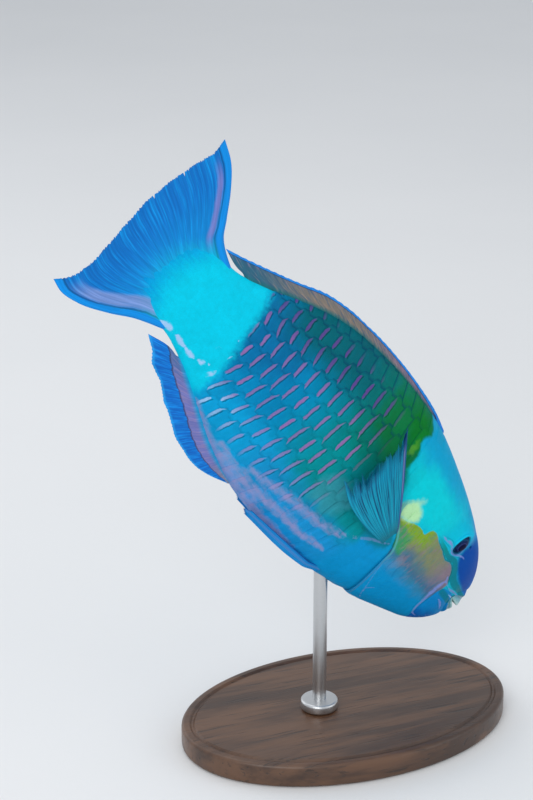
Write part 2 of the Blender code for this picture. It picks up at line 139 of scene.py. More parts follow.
SNOUT_EDGE = (
    (-24, 34), (-33, 26), (-37.5, 19), (-39, 12.5), (-36, 7.5), (-30.5, 4.2), (-24, 1.8), (-15, 0.4),
    (-7, -0.6), (0, -1.2),
)
REGIONS = {
    "gill": (GILL_EDGE, ((80, -90), (80, 90))),
    "jaw": (JAW_EDGE, ((80, -90), (80, -6.2))),
    "stem": (STEM_EDGE, ((-420, -60), (-420, 60))),
    "nape": (NAPE_EDGE, ((80, -60), (80, 62))),
    "cheek": (CHEEK_EDGE, CHEEK_CORNERS),
    "spot": (SPOT_EDGE, ()),
    "snout": (SNOUT_EDGE, ((20, -1.2), (20, 34))),
}

# Painted lines in side view: points (ahead, up, half width)
STROKES = {
    "lilac": (
        ((-63.5, 11.4, 0.5), (-60, 11.6, 1), (-55, 12.1, 1.4), (-51.5, 11.6, 1.1), (-49.5, 10.2, 0.7),
         (-46.5, 9.2, 0.7), (-43, 10.3, 0.9), (-39.5, 12, 1), (-35, 13, 0.7), (-31, 12.6, 0.3)),
        ((-34.5, -1.5, 0.9), (-31.5, -4.2, 0.9), (-28, -4.6, 0.6), (-24.5, -5, 0.8), (-21, -4.5, 1.3),
         (-17, -4, 0.8), (-12, -3.4, 0.5)),
        ((-24.5, -13.6, 0.6), (-21, -14.2, 1.2), (-17, -15.4, 1), (-13.5, -16.8, 0.5)),
        ((-17, -25, 0.4), (-12, -25.3, 0.4)),
        ((-19, -28.4, 0.4), (-13.5, -28.7, 0.3)),
        ((-23, -32.2, 0.5), (-16.5, -31.8, 0.4)),
        ((-33.2, -4.5, 1.3), (-34.2, -9, 2.2), (-33.8, -15, 2.3), (-32.4, -21, 1.8), (-31, -26, 1.3),
         (-27.2, -30, 0.9), (-22, -29.8, 0.5)),
        ((-79.5, -25, 0.5), (-77, -31, 0.5), (-72, -38, 0.5), (-68, -42.5, 0.8), (-65, -45, 0.6),
         (-61.5, -46.5, 0.3)),
        ((-65.5, -36.5, 0.3), (-69.5, -41, 0.5)),
        ((-88, -15, 0.8), (-93, -17.8, 1.3), (-99, -21.5, 1.5), (-105, -26.5, 1.5), (-110, -29.6, 1.3),
         (-119, -31, 0.8)),
    ),
    "teal": (
        ((-68, 10.8, 0.6), (-62, 9.2, 1.2), (-52, 7.2, 2), (-46, 6.4, 2.2), (-40, 7.6, 2.5), (-36, 5.4, 2.9),
         (-31, 1, 3.6), (-25, -1, 3.2), (-18, -1, 2.4), (-10, -1.4, 1.8), (-3, -1.5, 1.6)),
        ((-28, -9.5, 2.4), (-22, -9.6, 2.4), (-14, -10.4, 1.6)),
    ),
    "stripe": (
        ((-109, -30.5, 1.2), (-118, -34, 1.9), (-134, -37.3, 2.3), (-150, -39.3, 2.5), (-166, -42.5, 2),
         (-178, -44, 1.3)),
        ((-111, -44.5, 1.2), (-125, -47.3, 1.9), (-145, -48.4, 2.4), (-164, -50.4, 2.4), (-180, -50, 1.8),
         (-198, -46.5, 1.3)),
        ((-120, -56.5, 1.3), (-140, -58, 2.1), (-160, -57.6, 2.4), (-182, -54, 2.4), (-204, -49, 1.8),
         (-226, -41, 1.2)),
    ),
    "pale": (
        ((-285, -29.4, 1.3), (-279, -28.4, 1.9), (-275.5, -27.6, 1)),
        ((-272, -26.4, 1.4), (-267.5, -25.4, 2.6), (-264.5, -25.5, 1.2)),
        ((-261.5, -25.2, 1.1), (-258, -26, 2.2), (-254.5, -26.6, 1.2)),
        ((-252.5, -26.2, 1), (-248.5, -26.9, 2), (-245.5, -26.4, 1)),
        ((-243.5, -26, 1.1), (-240.5, -25, 2.1), (-238, -23, 1)),
        ((-234.6, -29.5, 1), (-233.4, -26, 1.7), (-232.2, -22, 1)),
        ((-244, -15.8, 0.4), (-241, -12, 0.6)),
        ((-235, -15.5, 0.5), (-233.4, -11, 0.8)),
        ((-239, -6.5, 0.3), (-237, -2, 0.5)),
        ((-21, -7.4, 0.4), (-16, -7.2, 0.5), (-11, -7, 0.4)),
    ),
}
FARTHEST = 3

# Lattice of scales: columns run behind, rows run from the middle row, up and down the flank
COLUMN_PITCH = ((30, 50, 75, 105, 125, 235, 270, 300), (4.6, 5.2, 6.4, 8, 8.35, 8.35, 7.2, 5.5))
ROW_PLACES = (30, 40, 70, 100, 147, 190, 233, 270, 300)
MIDDLE_ROW = (3, 3.5, 4, 4, 3, 0, -3, -4, -4)
PITCH_UP = (7.5, 9, 13.5, 16.5, 17, 13.3, 10.3, 8, 7)
PITCH_DOWN = (7.5, 9, 13, 15.5, 15.5, 13.5, 12, 9.5, 8.5)
COLUMN_ANCHOR, ANCHOR_SHARE = 147.5, 0.36
COLUMN_SPREAD, SPREAD_LIMIT = 0.045, 1.5
SCALES_FROM, SCALES_TO = 43, 277
FAINTEST_SCALE = 0.1

# One scale plate, in shares of its lattice cell
PLATE_STEPS = (-0.95, -0.3, 0.12, 0.38, 0.5)
PLATE_HALF = 0.62
PLATE_ACROSS = 6
PLATE_ROUNDING = 0.27
PLATE_LIFT, PLATE_THICKNESS = 0.27, 0.24
PLATE_TILT_DRAW, PLATE_LIFT_DRAW = 0.03, 0.015
PLATE_REACH = 0.49

# Fins, as in the CAD: outlines as points (ahead, up)
DORSAL_FROM, DORSAL_TO = 100, 254
DORSAL_MARGIN = (
    (-100.5, 52.8), (-112, 55.6), (-135, 58.1), (-160, 58.8), (-185, 57.3), (-202, 55), (-218, 50.8),
    (-235, 42.6), (-255, 33.8), (-277, 24.8),
)
DORSAL_REAR = (-265, 22.8)
ANAL_FROM, ANAL_TO = 173, 246
ANAL_MARGIN = (
    (-173.5, -58), (-185, -63), (-200, -65.5), (-215, -63.2), (-230, -57.2), (-245.5, -50.2), (-259, -44.6),
    (-271.2, -35.8),
)
ANAL_REAR = (-258, -32.2)
TAIL_BASE_MIDDLE, TAIL_BASE_CURVE = -284, 12.5
TAIL_BASE_HALF, TAIL_BASE_LEVEL = 26, -4
TAIL_TOP, TAIL_BOTTOM = 22.4, -30
TAIL_MARGIN = (
    (-321.8, 61.7), (-320.8, 53), (-323.6, 40), (-325.8, 20), (-325.6, 3), (-323.6, -15), (-322.2, -35),
    (-324, -45.5), (-328.7, -53.2),
)
TAIL_UPPER = ((-280.5, 26.2), (-288.8, 35.5), (-298.8, 46.8), (-310.8, 56.8))
TAIL_LOWER = ((-282, -35.2), (-295.5, -44.3), (-311, -52.4), (-321.2, -54.7))

# Paired fins on the left side: base, margin, leading and trailing edges as points (ahead, out, up)
PECTORAL = (
    ((-89.8, 26.8, -8.5), (-89.8, 26.8, -17.5)),
    ((-143.4, 36.5, 33.5), (-140.5, 35.5, 21.5), (-139, 34.5, 10), (-141.5, 33.2, -0.5),
     (-143.5, 31.5, -11.4)),
    ((-89.8, 26.8, -8.5), (-115, 33, 11.8), (-143.4, 36.5, 33.5)),
    ((-89.8, 26.8, -17.5), (-114, 29, -19.2), (-131, 30.5, -17), (-143.5, 31.5, -11.4)),
)
PELVIC = (
    ((-98, 10.4, -54.1), (-97.2, 8.4, -57.8)),
    ((-157, 9.2, -59), (-161, 8.7, -61.3), (-157.5, 8.3, -63.2)),
    ((-98, 10.4, -54.1), (-128, 10.6, -56.8), (-157, 9.2, -59)),
    ((-97.2, 8.4, -57.8), (-120, 8.7, -61.4), (-157.5, 8.3, -63.2)),
)
LEFT_PELVIC_LIFT = 0.045

# Stand, in metres, with the widths of its rounded edges in millimetres
BASE_LENGTH, BASE_WIDTH, BASE_HEIGHT = 0.2, 0.13, 0.014
STEP_RIM, GROOVE = 0.0045, 0.0012
ROD_RADIUS, COLLAR_RADIUS = 0.004, 0.011
BASE_EDGE, ROD_EDGE, COLLAR_EDGE = 2.4, 0.6, 1.6

# Camera, fitted to the photograph, and the studio
CAMERA_PLACE = (-0.42485, -0.92755, 0.59682)
CAMERA_BACK = (-0.34973, -0.8656, 0.35837)
CAMERA_LENS, CAMERA_SENSOR = 88.38, 36
FLOOR_SIZE = 30
SKY_COLOUR, SKY_STRENGTH = (0.86, 0.9, 0.95), 0.74
LIT_PLACE = (-0.03, 0, 0.19)
LIGHTS = {
    # place, size, power, colour
    "key": ((-1.05, -1.35, 1.25), 1.1, 13, (1, 0.99, 0.97)),
    "fill": ((1.3, -1.1, 0.75), 1.2, 4, (0.97, 0.99, 1)),
    "top": ((-0.15, 0.35, 1.75), 1.3, 6, (1, 1, 1)),
    "back": ((-0.9, 1.4, 0.9), 1.2, 4, (0.97, 0.98, 1)),
}

SHADER_SOCKETS = {
    "specular": "Specular IOR Level", "coat": "Coat Weight", "coat_roughness": "Coat Roughness",
    "metallic": "Metallic",
}


def operator(name, swapped=False):
    """A sum for the class below: one Math node, with the other number first where swapped."""

    def add_node(value, *other):
        return value.paint.math(name, *((*other, value) if swapped else (value, *other)))

    return add_node


class Value:
    """One number or vector that varies over a surface. Sums on it add Math nodes."""

    def __init__(self, paint, socket):
        self.paint = paint
        self.socket = socket

    __add__ = operator("ADD")
    __radd__ = operator("ADD", swapped=True)
    __sub__ = operator("SUBTRACT")
    __rsub__ = operator("SUBTRACT", swapped=True)
    __mul__ = operator("MULTIPLY")
    __rmul__ = operator("MULTIPLY", swapped=True)
    __truediv__ = operator("DIVIDE")
    __abs__ = operator("ABSOLUTE")

    def step(self, low, high):
        """0 at low and 1 at high, with soft ends. High may be the smaller one."""
        sockets = {"Value": self, "From Min": low, "From Max": high}
        return self.paint.node("MapRange", {"interpolation_type": "SMOOTHSTEP"}, sockets)

    def parts(self):
        return [self.paint.node("SeparateXYZ", {}, {0: self}, k) for k in range(3)]

    def noise(self, scale, detail=2, roughness=0.5, stretch=None):
        """Smooth noise from 0 to 1 around a half, at the places that a vector gives."""
        place = self.paint.vector("MULTIPLY", self, stretch) if stretch else self
        sockets = {"Vector": place, "Scale": scale, "Detail": detail, "Roughness": roughness}
        return self.paint.node("TexNoise", {}, sockets)


class Paint:
    """A material, with short ways to add the nodes that feed its shader."""

    def __init__(self, name, **constants):
        self.material = bpy.data.materials.new(name)
        self.material.use_nodes = True
        self.tree = self.material.node_tree
        self.shader = self.tree.nodes["Principled BSDF"]
        for constant, value in constants.items():
            self.shader.inputs[SHADER_SOCKETS[constant]].default_value = value

    def node(self, kind, settings, sockets, output=0):
        """Adds one node: its settings first, then the values or links of its sockets."""
        made = self.tree.nodes.new("ShaderNode" + kind)
        for name, value in settings.items():
            setattr(made, name, value)
        for name, value in sockets.items():
            if isinstance(value, Value):
                self.tree.links.new(value.socket, made.inputs[name])
            else:
                made.inputs[name].default_value = value
        return Value(self, made.outputs[output])

    def math(self, operation, *values):
        return self.node("Math", {"operation": operation}, dict(enumerate(values)))

    def vector(self, operation, first, second, output=0):
        return self.node("VectorMath", {"operation": operation}, {0: first, 1: second}, output)

    def attribute(self, name, output="Fac"):
        return self.node("Attribute", {"attribute_name": name}, {}, output)

    def fish(self):
        """Places in the straight fish's frame, in millimetres."""
        return self.attribute("fish", "Vector")

    def places(self):
        """Object coordinates, in metres."""
        return self.node("TexCoord", {}, {}, "Object")

    def join(self, x, y, z=0):
        return self.node("CombineXYZ", {}, {0: x, 1: y, 2: z})

    def mix(self, under, over, share):
        """A colour from under, at share 0, to over, at share 1."""
        sockets = {0: share}
        for place, colour in ((6, under), (7, over)):
            sockets[place] = colour if isinstance(colour, Value) else (*colour, 1)
        return self.node("Mix", {"data_type": "RGBA"}, sockets, 2)

    def layers(self, colour, *coats):
        """Lays each coat over the colour by its share. A coat of None multiplies it by its amount instead."""
        for over, share in coats:
            if over is None:
                colour = self.vector("MULTIPLY", colour, self.join(share, share, share))
            else:
                colour = self.mix(colour, over, share)
        return colour

    def finish(self, colour, roughness, *bumps):
        """Links the colour, the roughness and a chain of bumps, each a height and its depth in metres."""
        normal = {}
        for height, depth in bumps:
            sockets = {"Height": height, "Distance": depth, "Strength": 1, **normal}
            normal = {"Normal": self.node("Bump", {}, sockets)}
        for name, value in {"Base Color": colour, "Roughness": roughness, **normal}.items():
            self.tree.links.new(value.socket, self.shader.inputs[name])
        return self.material


def soft(value, low, high):
    """0 at low and 1 at high, with soft ends, on arrays."""
    t = np.clip((value - low) / (high - low), 0, 1)
    return t * t * (3 - 2 * t)


def hump(off, width):
    """1 in the middle, falling softly to 0 on both sides."""
    return np.exp(-((off / width) ** 2))


def off_oval(x, z, ahead, up, long, tall):
    """How far places in side view lie from an oval's middle, where its border is at 1."""
    return np.hypot((x - ahead) / long, (z - up) / tall)


def unit(vectors):
    """Vectors of the same directions, all one long."""
    return vectors / np.linalg.norm(vectors, axis=-1, keepdims=True)


def placed(points):
    """Places in the CAD frame, in metres, of points of the straight fish, in millimetres."""
    turn = (points[..., 0] - SPINE_MIDDLE) / SPINE_RADIUS
    reach = SPINE_RADIUS - points[..., 1]
    ahead = SPINE_MIDDLE + reach * np.sin(turn)
    side = SPINE_RADIUS - reach * np.cos(turn)
    up = points[..., 2]
    cos, sin = math.cos(NOSE_DOWN), math.sin(NOSE_DOWN)
    world = (SNOUT_AHEAD + cos * ahead + sin * up, side, SNOUT_HEIGHT - sin * ahead + cos * up)
    return np.stack(world, -1) * METRES


def along(places, values, at):
    """Values at some places, on a smooth curve through the given ones."""
    places, values = np.asarray(places, float), np.asarray(values, float)
    slopes = np.gradient(values, places)
    i = np.clip(np.searchsorted(places, at) - 1, 0, len(places) - 2)
    width = places[i + 1] - places[i]
    t = (at - places[i]) / width
    start = (1 + 2 * t) * (1 - t) ** 2 * values[i] + t * (1 - t) ** 2 * width * slopes[i]
    end = t * t * (3 - 2 * t) * values[i + 1] + t * t * (t - 1) * width * slopes[i + 1]
    return start + end


def curve_through(points):
    """A function from shares of the way, 0 to 1, to places on a smooth curve through the points."""
    p = np.array(points, float)
    run = np.concatenate([[0], np.cumsum(np.linalg.norm(np.diff(p, axis=0), axis=1))])
    run /= run[-1]
    return lambda share: np.stack([along(run, values, share) for values in p.T], -1)


def body(column, behind):
    """One column of the table of body sections, at distances behind the snout."""
    return along(STATIONS[:, 0], STATIONS[:, column], behind)


def section(behind, turn):
    """Points of the plain body: turn 0 is the left flank and a quarter turn the back."""
    back, belly, half_width, level, back_ridge, belly_ridge = (body(k, behind) for k in range(1, 7))
    sin, cos = np.sin(turn), np.cos(turn)
    height = np.where(sin > 0, back - level, belly + level)
    ridge = np.where(sin > 0, back_ridge, belly_ridge)
    out = np.copysign(np.abs(cos) ** ridge, cos)
    return np.stack(np.broadcast_arrays(-behind, half_width * out, level + height * sin), -1)


def section_normal(behind, turn, step=0.4, swing=0.01):
    """The direction out of the plain body, from places a step and a swing to either side."""
    run = section(behind + step, turn) - section(behind - step, turn)
    around = section(behind, turn + swing) - section(behind, turn - swing)
    return unit(np.cross(run, around))


def flank_turn(x, z):
    """The turn at which the left flank passes through a place in side view."""
    back, belly, level = (body(k, -x) for k in (1, 2, 4))
    height = np.where(z > level, back - level, belly + level)
    return np.arcsin(np.clip((z - level) / height, -1, 1))


def mouth_rim(turn):
    """The rim of the mouth: turn 0 is its left corner and a quarter turn the middle of the upper lip."""
    sin, cos = np.sin(turn), np.cos(turn)
    lip = np.where(sin[..., None] > 0, UPPER_LIP, LOWER_LIP)
    ahead = lip[..., 0] + (MOUTH_CORNER[0] - lip[..., 0]) * np.abs(cos) ** MOUTH_CORNER_POWER
    height = MOUTH_CORNER[2] + (lip[..., 2] - MOUTH_CORNER[2]) * np.abs(sin)
    return np.stack([ahead, MOUTH_CORNER[1] * cos, height], -1)


def face(t, turn):
    """Points of the face, from the mouth's rim at share 0 to the first station at share 1."""
    rim, cheek = mouth_rim(turn), section(FACE_END, turn)
    sin, cos = np.sin(turn)[..., None], np.cos(turn)[..., None]
    upward = np.where(sin > 0, LIP_TURN_UP, LIP_TURN_DOWN)
    sideways = np.concatenate([LIP_TURN_SIDE[0] + 0 * cos, np.copysign(LIP_TURN_SIDE[1], cos), 0 * cos], -1)
    leave = sideways * cos ** 2 + upward * sin ** 2
    arrive = (section(FACE_END + 1, turn) - cheek) * FACE_REACH
    rim_part = rim * ((1 + 2 * t) * (1 - t) ** 2) + leave * (t * (1 - t) ** 2)
    return rim_part + cheek * (t * t * (3 - 2 * t)) + arrive * (t * t * (t - 1))


def line_distance(line, x, z):
    """The distance from places in side view to a chain of points, and where along it the nearest lies."""
    best = np.full(x.shape, 1e9)
    where = np.zeros(x.shape)
    for k in range(len(line) - 1):
        (x0, z0), (x1, z1) = line[k, :2], line[k + 1, :2]
        length = (x1 - x0) ** 2 + (z1 - z0) ** 2 + 1e-12
        t = np.clip(((x - x0) * (x1 - x0) + (z - z0) * (z1 - z0)) / length, 0, 1)
        distance = np.hypot(x - x0 - t * (x1 - x0), z - z0 - t * (z1 - z0))
        nearer = distance < best
        best = np.where(nearer, distance, best)
        where = np.where(nearer, k + t, where)
    return best, where


def region_depth(edge, corners, x, z):
    """How deep inside a region places in side view lie, in millimetres. Outside it is negative.

    Its outline is a smooth curve through the edge's points, closed by straight lines to the corners.
    """
    outline = curve_through(edge)(np.linspace(0, 1, 6 * len(edge)))
    closed = np.vstack([outline, *(corners and [corners]), outline[:1]])
    inside = np.zeros(x.shape, bool)
    for (x0, z0), (x1, z1) in zip(closed[:-1], closed[1:]):
        if z0 != z1:
            crossing = x0 + (z - z0) / (z1 - z0) * (x1 - x0)
            inside ^= ((z0 > z) != (z1 > z)) & (x < crossing)
    distance, _ = line_distance(closed, x, z)
    return np.where(inside, distance, -distance)


def stroke_strength(strokes, x, z):
    """1 in the middle of the nearest painted line and 0 at its edges. Farther out it is negative."""
    best = np.full(x.shape, -FARTHEST)
    for points in strokes:
        count = 5 * len(points)
        line = curve_through(points)(np.linspace(0, 1, count))
        distance, where = line_distance(line, x, z)
        best = np.maximum(best, 1 - distance / np.interp(where, np.arange(count), line[:, 2]))
    return best


def side_marks(x, z):
    """Every region's depth and line's strength at places in side view, with the distance from the eye."""
    depths = {name: region_depth(*region, x, z) for name, region in REGIONS.items()}
    strengths = {name: stroke_strength(lines, x, z) for name, lines in STROKES.items()}
    return {**depths, **strengths, "eye": off_oval(x, z, *ORBIT)}


def scaled(x, z, marks):
    """How strongly the coat of scales shows at places in side view, from 0 to 1."""
    gill, slit = marks["gill"], soft(z, 12, 6)
    on_trunk = soft(-gill, 3, 9) * slit + 1 - slit
    on_cover = 0.34 * (1 - slit * soft(gill, 8, 4)) * soft(-x, 42, 52)
    on_nape = (0.34 + 0.66 * soft(-x, 96, 116)) * (1 - 0.62 * soft(marks["stem"], -2, 4))
    above = soft(z, 14, 24)
    strength = np.where(gill > 0, on_cover * (1 - above) + on_nape * above, on_trunk * on_nape)
    strength = strength * soft(marks["eye"], 10.5, 15) * soft(-x, 40, 50)
    return strength * soft(off_oval(x, z, *BARE_PAD), 0.85, 1.15)


def orbit_swell(x, z):
    """How far the soft rim round the eye stands out. It is highest behind and above the eye."""
    lean = 0.34 * (z - ORBIT[1]) - 0.24 * (x - ORBIT[0])
    return 0.95 + np.clip(lean, -1.5, 2.6)


def relief(x, z, marks):
    """How far the skin stands out from the body's plain shape at places in side view."""
    gill, jaw, eye = marks["gill"], marks["jaw"], marks["eye"]
    slit = soft(z, 12, 6) * soft(z, -58, -50)
    nostril = off_oval(x, z, *NOSTRIL)
    heights = (
        -BARE_DEPTH - (COAT_DEPTH - BARE_DEPTH) * scaled(x, z, marks),
        # The gill cover, its slit and the fold on the cheek
        slit * 0.55 * soft(gill, 0, 4) * soft(gill, 26, 8),
        -0.9 * slit * soft(gill, 1.4, 0.2) * soft(gill, -9, -0.6),
        -0.35 * hump(x - CHEEK_FOLD, 1.6) * soft(z, -34, -22) * soft(z, 8, 0),
        # The fold behind the jaw
        -0.55 * hump(jaw, 0.9) * soft(z, -36, -30),
        0.35 * hump(jaw + 2.4, 1.6) * soft(z, -34, -28),
        # The rim round the eye, its socket, the pad under the pectoral fin and the nostril
        orbit_swell(x, z) * hump(eye - 7.6, np.where(eye > 7.6, 4.4, 2)),
        -2.8 * soft(eye, 6.6, 4.4),
        2.2 * soft(off_oval(x, z, *FIN_PAD), 1.25, 0.45),
        0.3 * hump(nostril - 1.5, 0.6) - 0.7 * soft(nostril, 1.2, 0.4),
    )
    return sum(heights)


def fresh(name, add, **sizes):
    """Adds a primitive with nothing else selected, and names it and its mesh."""
    bpy.ops.object.select_all(action="DESELECT")
    add(**sizes)
    piece = bpy.context.object
    piece.name = piece.data.name = name
    return piece


def apply_all(piece):
    bpy.context.view_layer.objects.active = piece
    for modifier in list(piece.modifiers):
        bpy.ops.object.modifier_apply(modifier=modifier.name)


def thicken(piece, thickness, offset, group=""):
    """Gives a sheet its thickness, in millimetres."""
    solid = piece.modifiers.new("Thickness", "SOLIDIFY")
    solid.thickness = thickness * METRES
    solid.offset = offset
    solid.vertex_group = group
    apply_all(piece)


def bevel(piece, width, segments, degrees):
    """Rounds the edges of a piece that are sharper than an angle, by a width in millimetres."""
    edge = piece.modifiers.new("Edge", "BEVEL")
    edge.width = width * METRES
    edge.segments = segments
    edge.limit_method = "ANGLE"
    edge.angle_limit = math.radians(degrees)
    apply_all(piece)


def corners(mesh):
    found = np.empty(3 * len(mesh.vertices), np.float32)
    mesh.vertices.foreach_get("co", found)
    return found.reshape(-1, 3).astype(float)


def reshape(piece, points):
    """Moves a piece's vertices to these points of the straight fish."""
    piece.data.vertices.foreach_set("co", placed(points).astype(np.float32).ravel())
    piece.data.update()


def carry(piece, **stored):
    """Stores numbers or vectors on a piece's vertices for its paint to read."""
    for name, values in stored.items():
        kind, field = ("FLOAT", "value") if values.ndim == 1 else ("FLOAT_VECTOR", "vector")
        attribute = piece.data.attributes.new(name, kind, "POINT")
        attribute.data.foreach_set(field, values.astype(np.float32).ravel())


def set_map(piece, places):
    """Gives a piece the map its finish is baked through, from a place for each corner of a face."""
    layers = piece.data.uv_layers
    while layers:
        layers.remove(layers[0])
    layers.new(name="OFBake").data.foreach_set("uv", places.astype(np.float32).ravel())


def grid(name, across, outward):
    """A flat grid, with each vertex's share across and outward, from 0 to 1."""
    add = bpy.ops.mesh.primitive_grid_add
    piece = fresh(name, add, x_subdivisions=across, y_subdivisions=outward, size=2)
    u, v, _ = corners(piece.data).T / 2 + 0.5
    return piece, u, v


def finished(piece, paint, sharp_from=None):
    """Gives a piece its material and its place on the model, smooth but for edges above an angle."""
    piece.data.materials.clear()
    piece.data.materials.append(paint)
    piece.data.shade_smooth()
    if sharp_from:
        piece.data.set_sharp_from_angle(angle=math.radians(sharp_from))
    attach(piece, "root")


def table_step(at, places):
    """For places in an even table, the step before each and the share of the way to the next."""
    i = np.clip((at - places[0]) / (places[1] - places[0]), 0, len(places) - 1.001)
    return i.astype(int), i - i.astype(int)


class Lattice:
    """Where the columns and rows of scales run over the left flank."""

    def __init__(self):
        self.behind = np.linspace(FACE_END, SKIN_END, 541)
        self.turn = np.linspace(-math.pi / 2, math.pi / 2, 361)
        points = section(self.behind[:, None], self.turn[None, :])
        run = np.linalg.norm(np.diff(points, axis=1), axis=2)
        length = np.concatenate([np.zeros((len(self.behind), 1)), np.cumsum(run, axis=1)], axis=1)
        middle, up, down = (
            np.interp(self.behind, ROW_PLACES, values) for values in (MIDDLE_ROW, PITCH_UP, PITCH_DOWN)
        )
        start = np.array([np.interp(m, points[i, :, 2], length[i]) for i, m in enumerate(middle)])
        offset = length - start[:, None]
        self.rows = np.where(offset > 0, offset / up[:, None], offset / down[:, None])
        pitch = np.interp(self.behind, *COLUMN_PITCH)
        steps = np.diff(self.behind) * (1 / pitch[1:] + 1 / pitch[:-1]) / 2
        count = np.concatenate([[0], np.cumsum(steps)])
        self.columns = count - np.interp(COLUMN_ANCHOR, self.behind, count) + ANCHOR_SHARE

    def spread(self, row):
        return 1 + COLUMN_SPREAD * np.minimum(row ** 2 / 4, SPREAD_LIMIT)

    def at(self, behind, turn):
        """The column and row at places on the body. The right side mirrors the left."""
        a, p = table_step(behind, self.behind)
        b, q = table_step(np.arcsin(np.clip(np.sin(turn), -1, 1)), self.turn)
        near, far = (self.rows[k, b] * (1 - q) + self.rows[k, b + 1] * q for k in (a, a + 1))
        row = near * (1 - p) + far * p
        column = np.interp(behind, self.behind, self.columns)
        return ANCHOR_SHARE + (column - ANCHOR_SHARE) / self.spread(row), row

    def place(self, column, row):
        """How far behind, and at what turn of the left flank, a column and row lie."""
        straight = ANCHOR_SHARE + (column - ANCHOR_SHARE) * self.spread(row)
        behind = np.interp(straight, self.columns, self.behind)
        a, p = table_step(behind, self.behind)
        turns = np.empty(row.shape)
        for k in np.ndindex(row.shape):
            rows = self.rows[a[k]] * (1 - p[k]) + self.rows[a[k] + 1] * p[k]
            turns[k] = np.interp(row[k], rows, self.turn)
        return behind, turns

    def cells(self):
        """The middle of every scale, as its column and row. Odd rows are shifted half a scale."""
        low, high = int(math.floor(self.rows.min())), int(math.ceil(self.rows.max()))
        first, last = int(self.columns[0]) - 6, int(self.columns[-1]) + 6
        found = np.array([(c + 0.5 * (r % 2), r) for r in range(low, high + 1) for c in range(first, last)])
        behind, _ = self.place(*found.T)
        least, most = (np.interp(behind, self.behind, pick(self.rows, axis=1)) for pick in (np.min, np.max))
        return found[(found[:, 1] > least - 0.45) & (found[:, 1] < most + 0.45)]


def carry_marks(piece, points, marks, lattice, mouth=0):
    """Stores what the skin paint reads: the fish frame, the scale lattice, the side marks and the mouth."""
    carry(piece, fish=points, lattice=lattice, mouth=mouth + np.zeros(len(points)), **marks)


def lay_on_flank(piece, side, x, z, height, lattice):
    """Moves a piece of skin to places in side view and heights over one flank."""
    turn = flank_turn(x, z)
    base = section(-x, turn)
    reshape(piece, (base + section_normal(-x, turn) * height[:, None]) * (1, side, 1))
    table = np.stack([*lattice.at(-x, turn), 0 * x], -1)
    carry_marks(piece, base * (1, side, 1), side_marks(x, z), table)


def skin_rings(turn):
    """The plain body's rings from the back of the mouth to the tip inside the tail fin."""
    throat = MOUTH_CORNER * (1, 0, 1) - (MOUTH_DEPTH / 2, 0, 0)
    rings = []
    for k in range(MOUTH_RINGS):
        depth = 1 - k / MOUTH_RINGS
        size = along(*MOUTH_SIZES, depth) * soft(k + 0.6, -0.4, 2.2)
        rings.append(throat + (mouth_rim(turn) - throat) * size - (MOUTH_DEPTH * depth, 0, 0))
    rings += [face(share, turn) for share in np.linspace(0, 1, FACE_RINGS, endpoint=False)]
    head = np.linspace(FACE_END, HEAD_END, HEAD_RINGS, endpoint=False)
    trunk = np.linspace(HEAD_END, SKIN_END, TRUNK_RINGS)
    behind = np.concatenate([[FACE_END] * len(rings), head, trunk])
    rings += [section(np.full(turn.shape, at), turn) for at in behind[len(rings):]]
    return np.array(rings), behind


def lip_relief(count):
    """The fleshy lips round the mouth and the fold behind them, for each ring."""
    share = (np.arange(count) - MOUTH_RINGS) / FACE_RINGS
    return (0.75 * hump(share - 0.055, 0.045) - 0.45 * hump(share - 0.15, 0.028)) * soft(share, -0.09, 0)


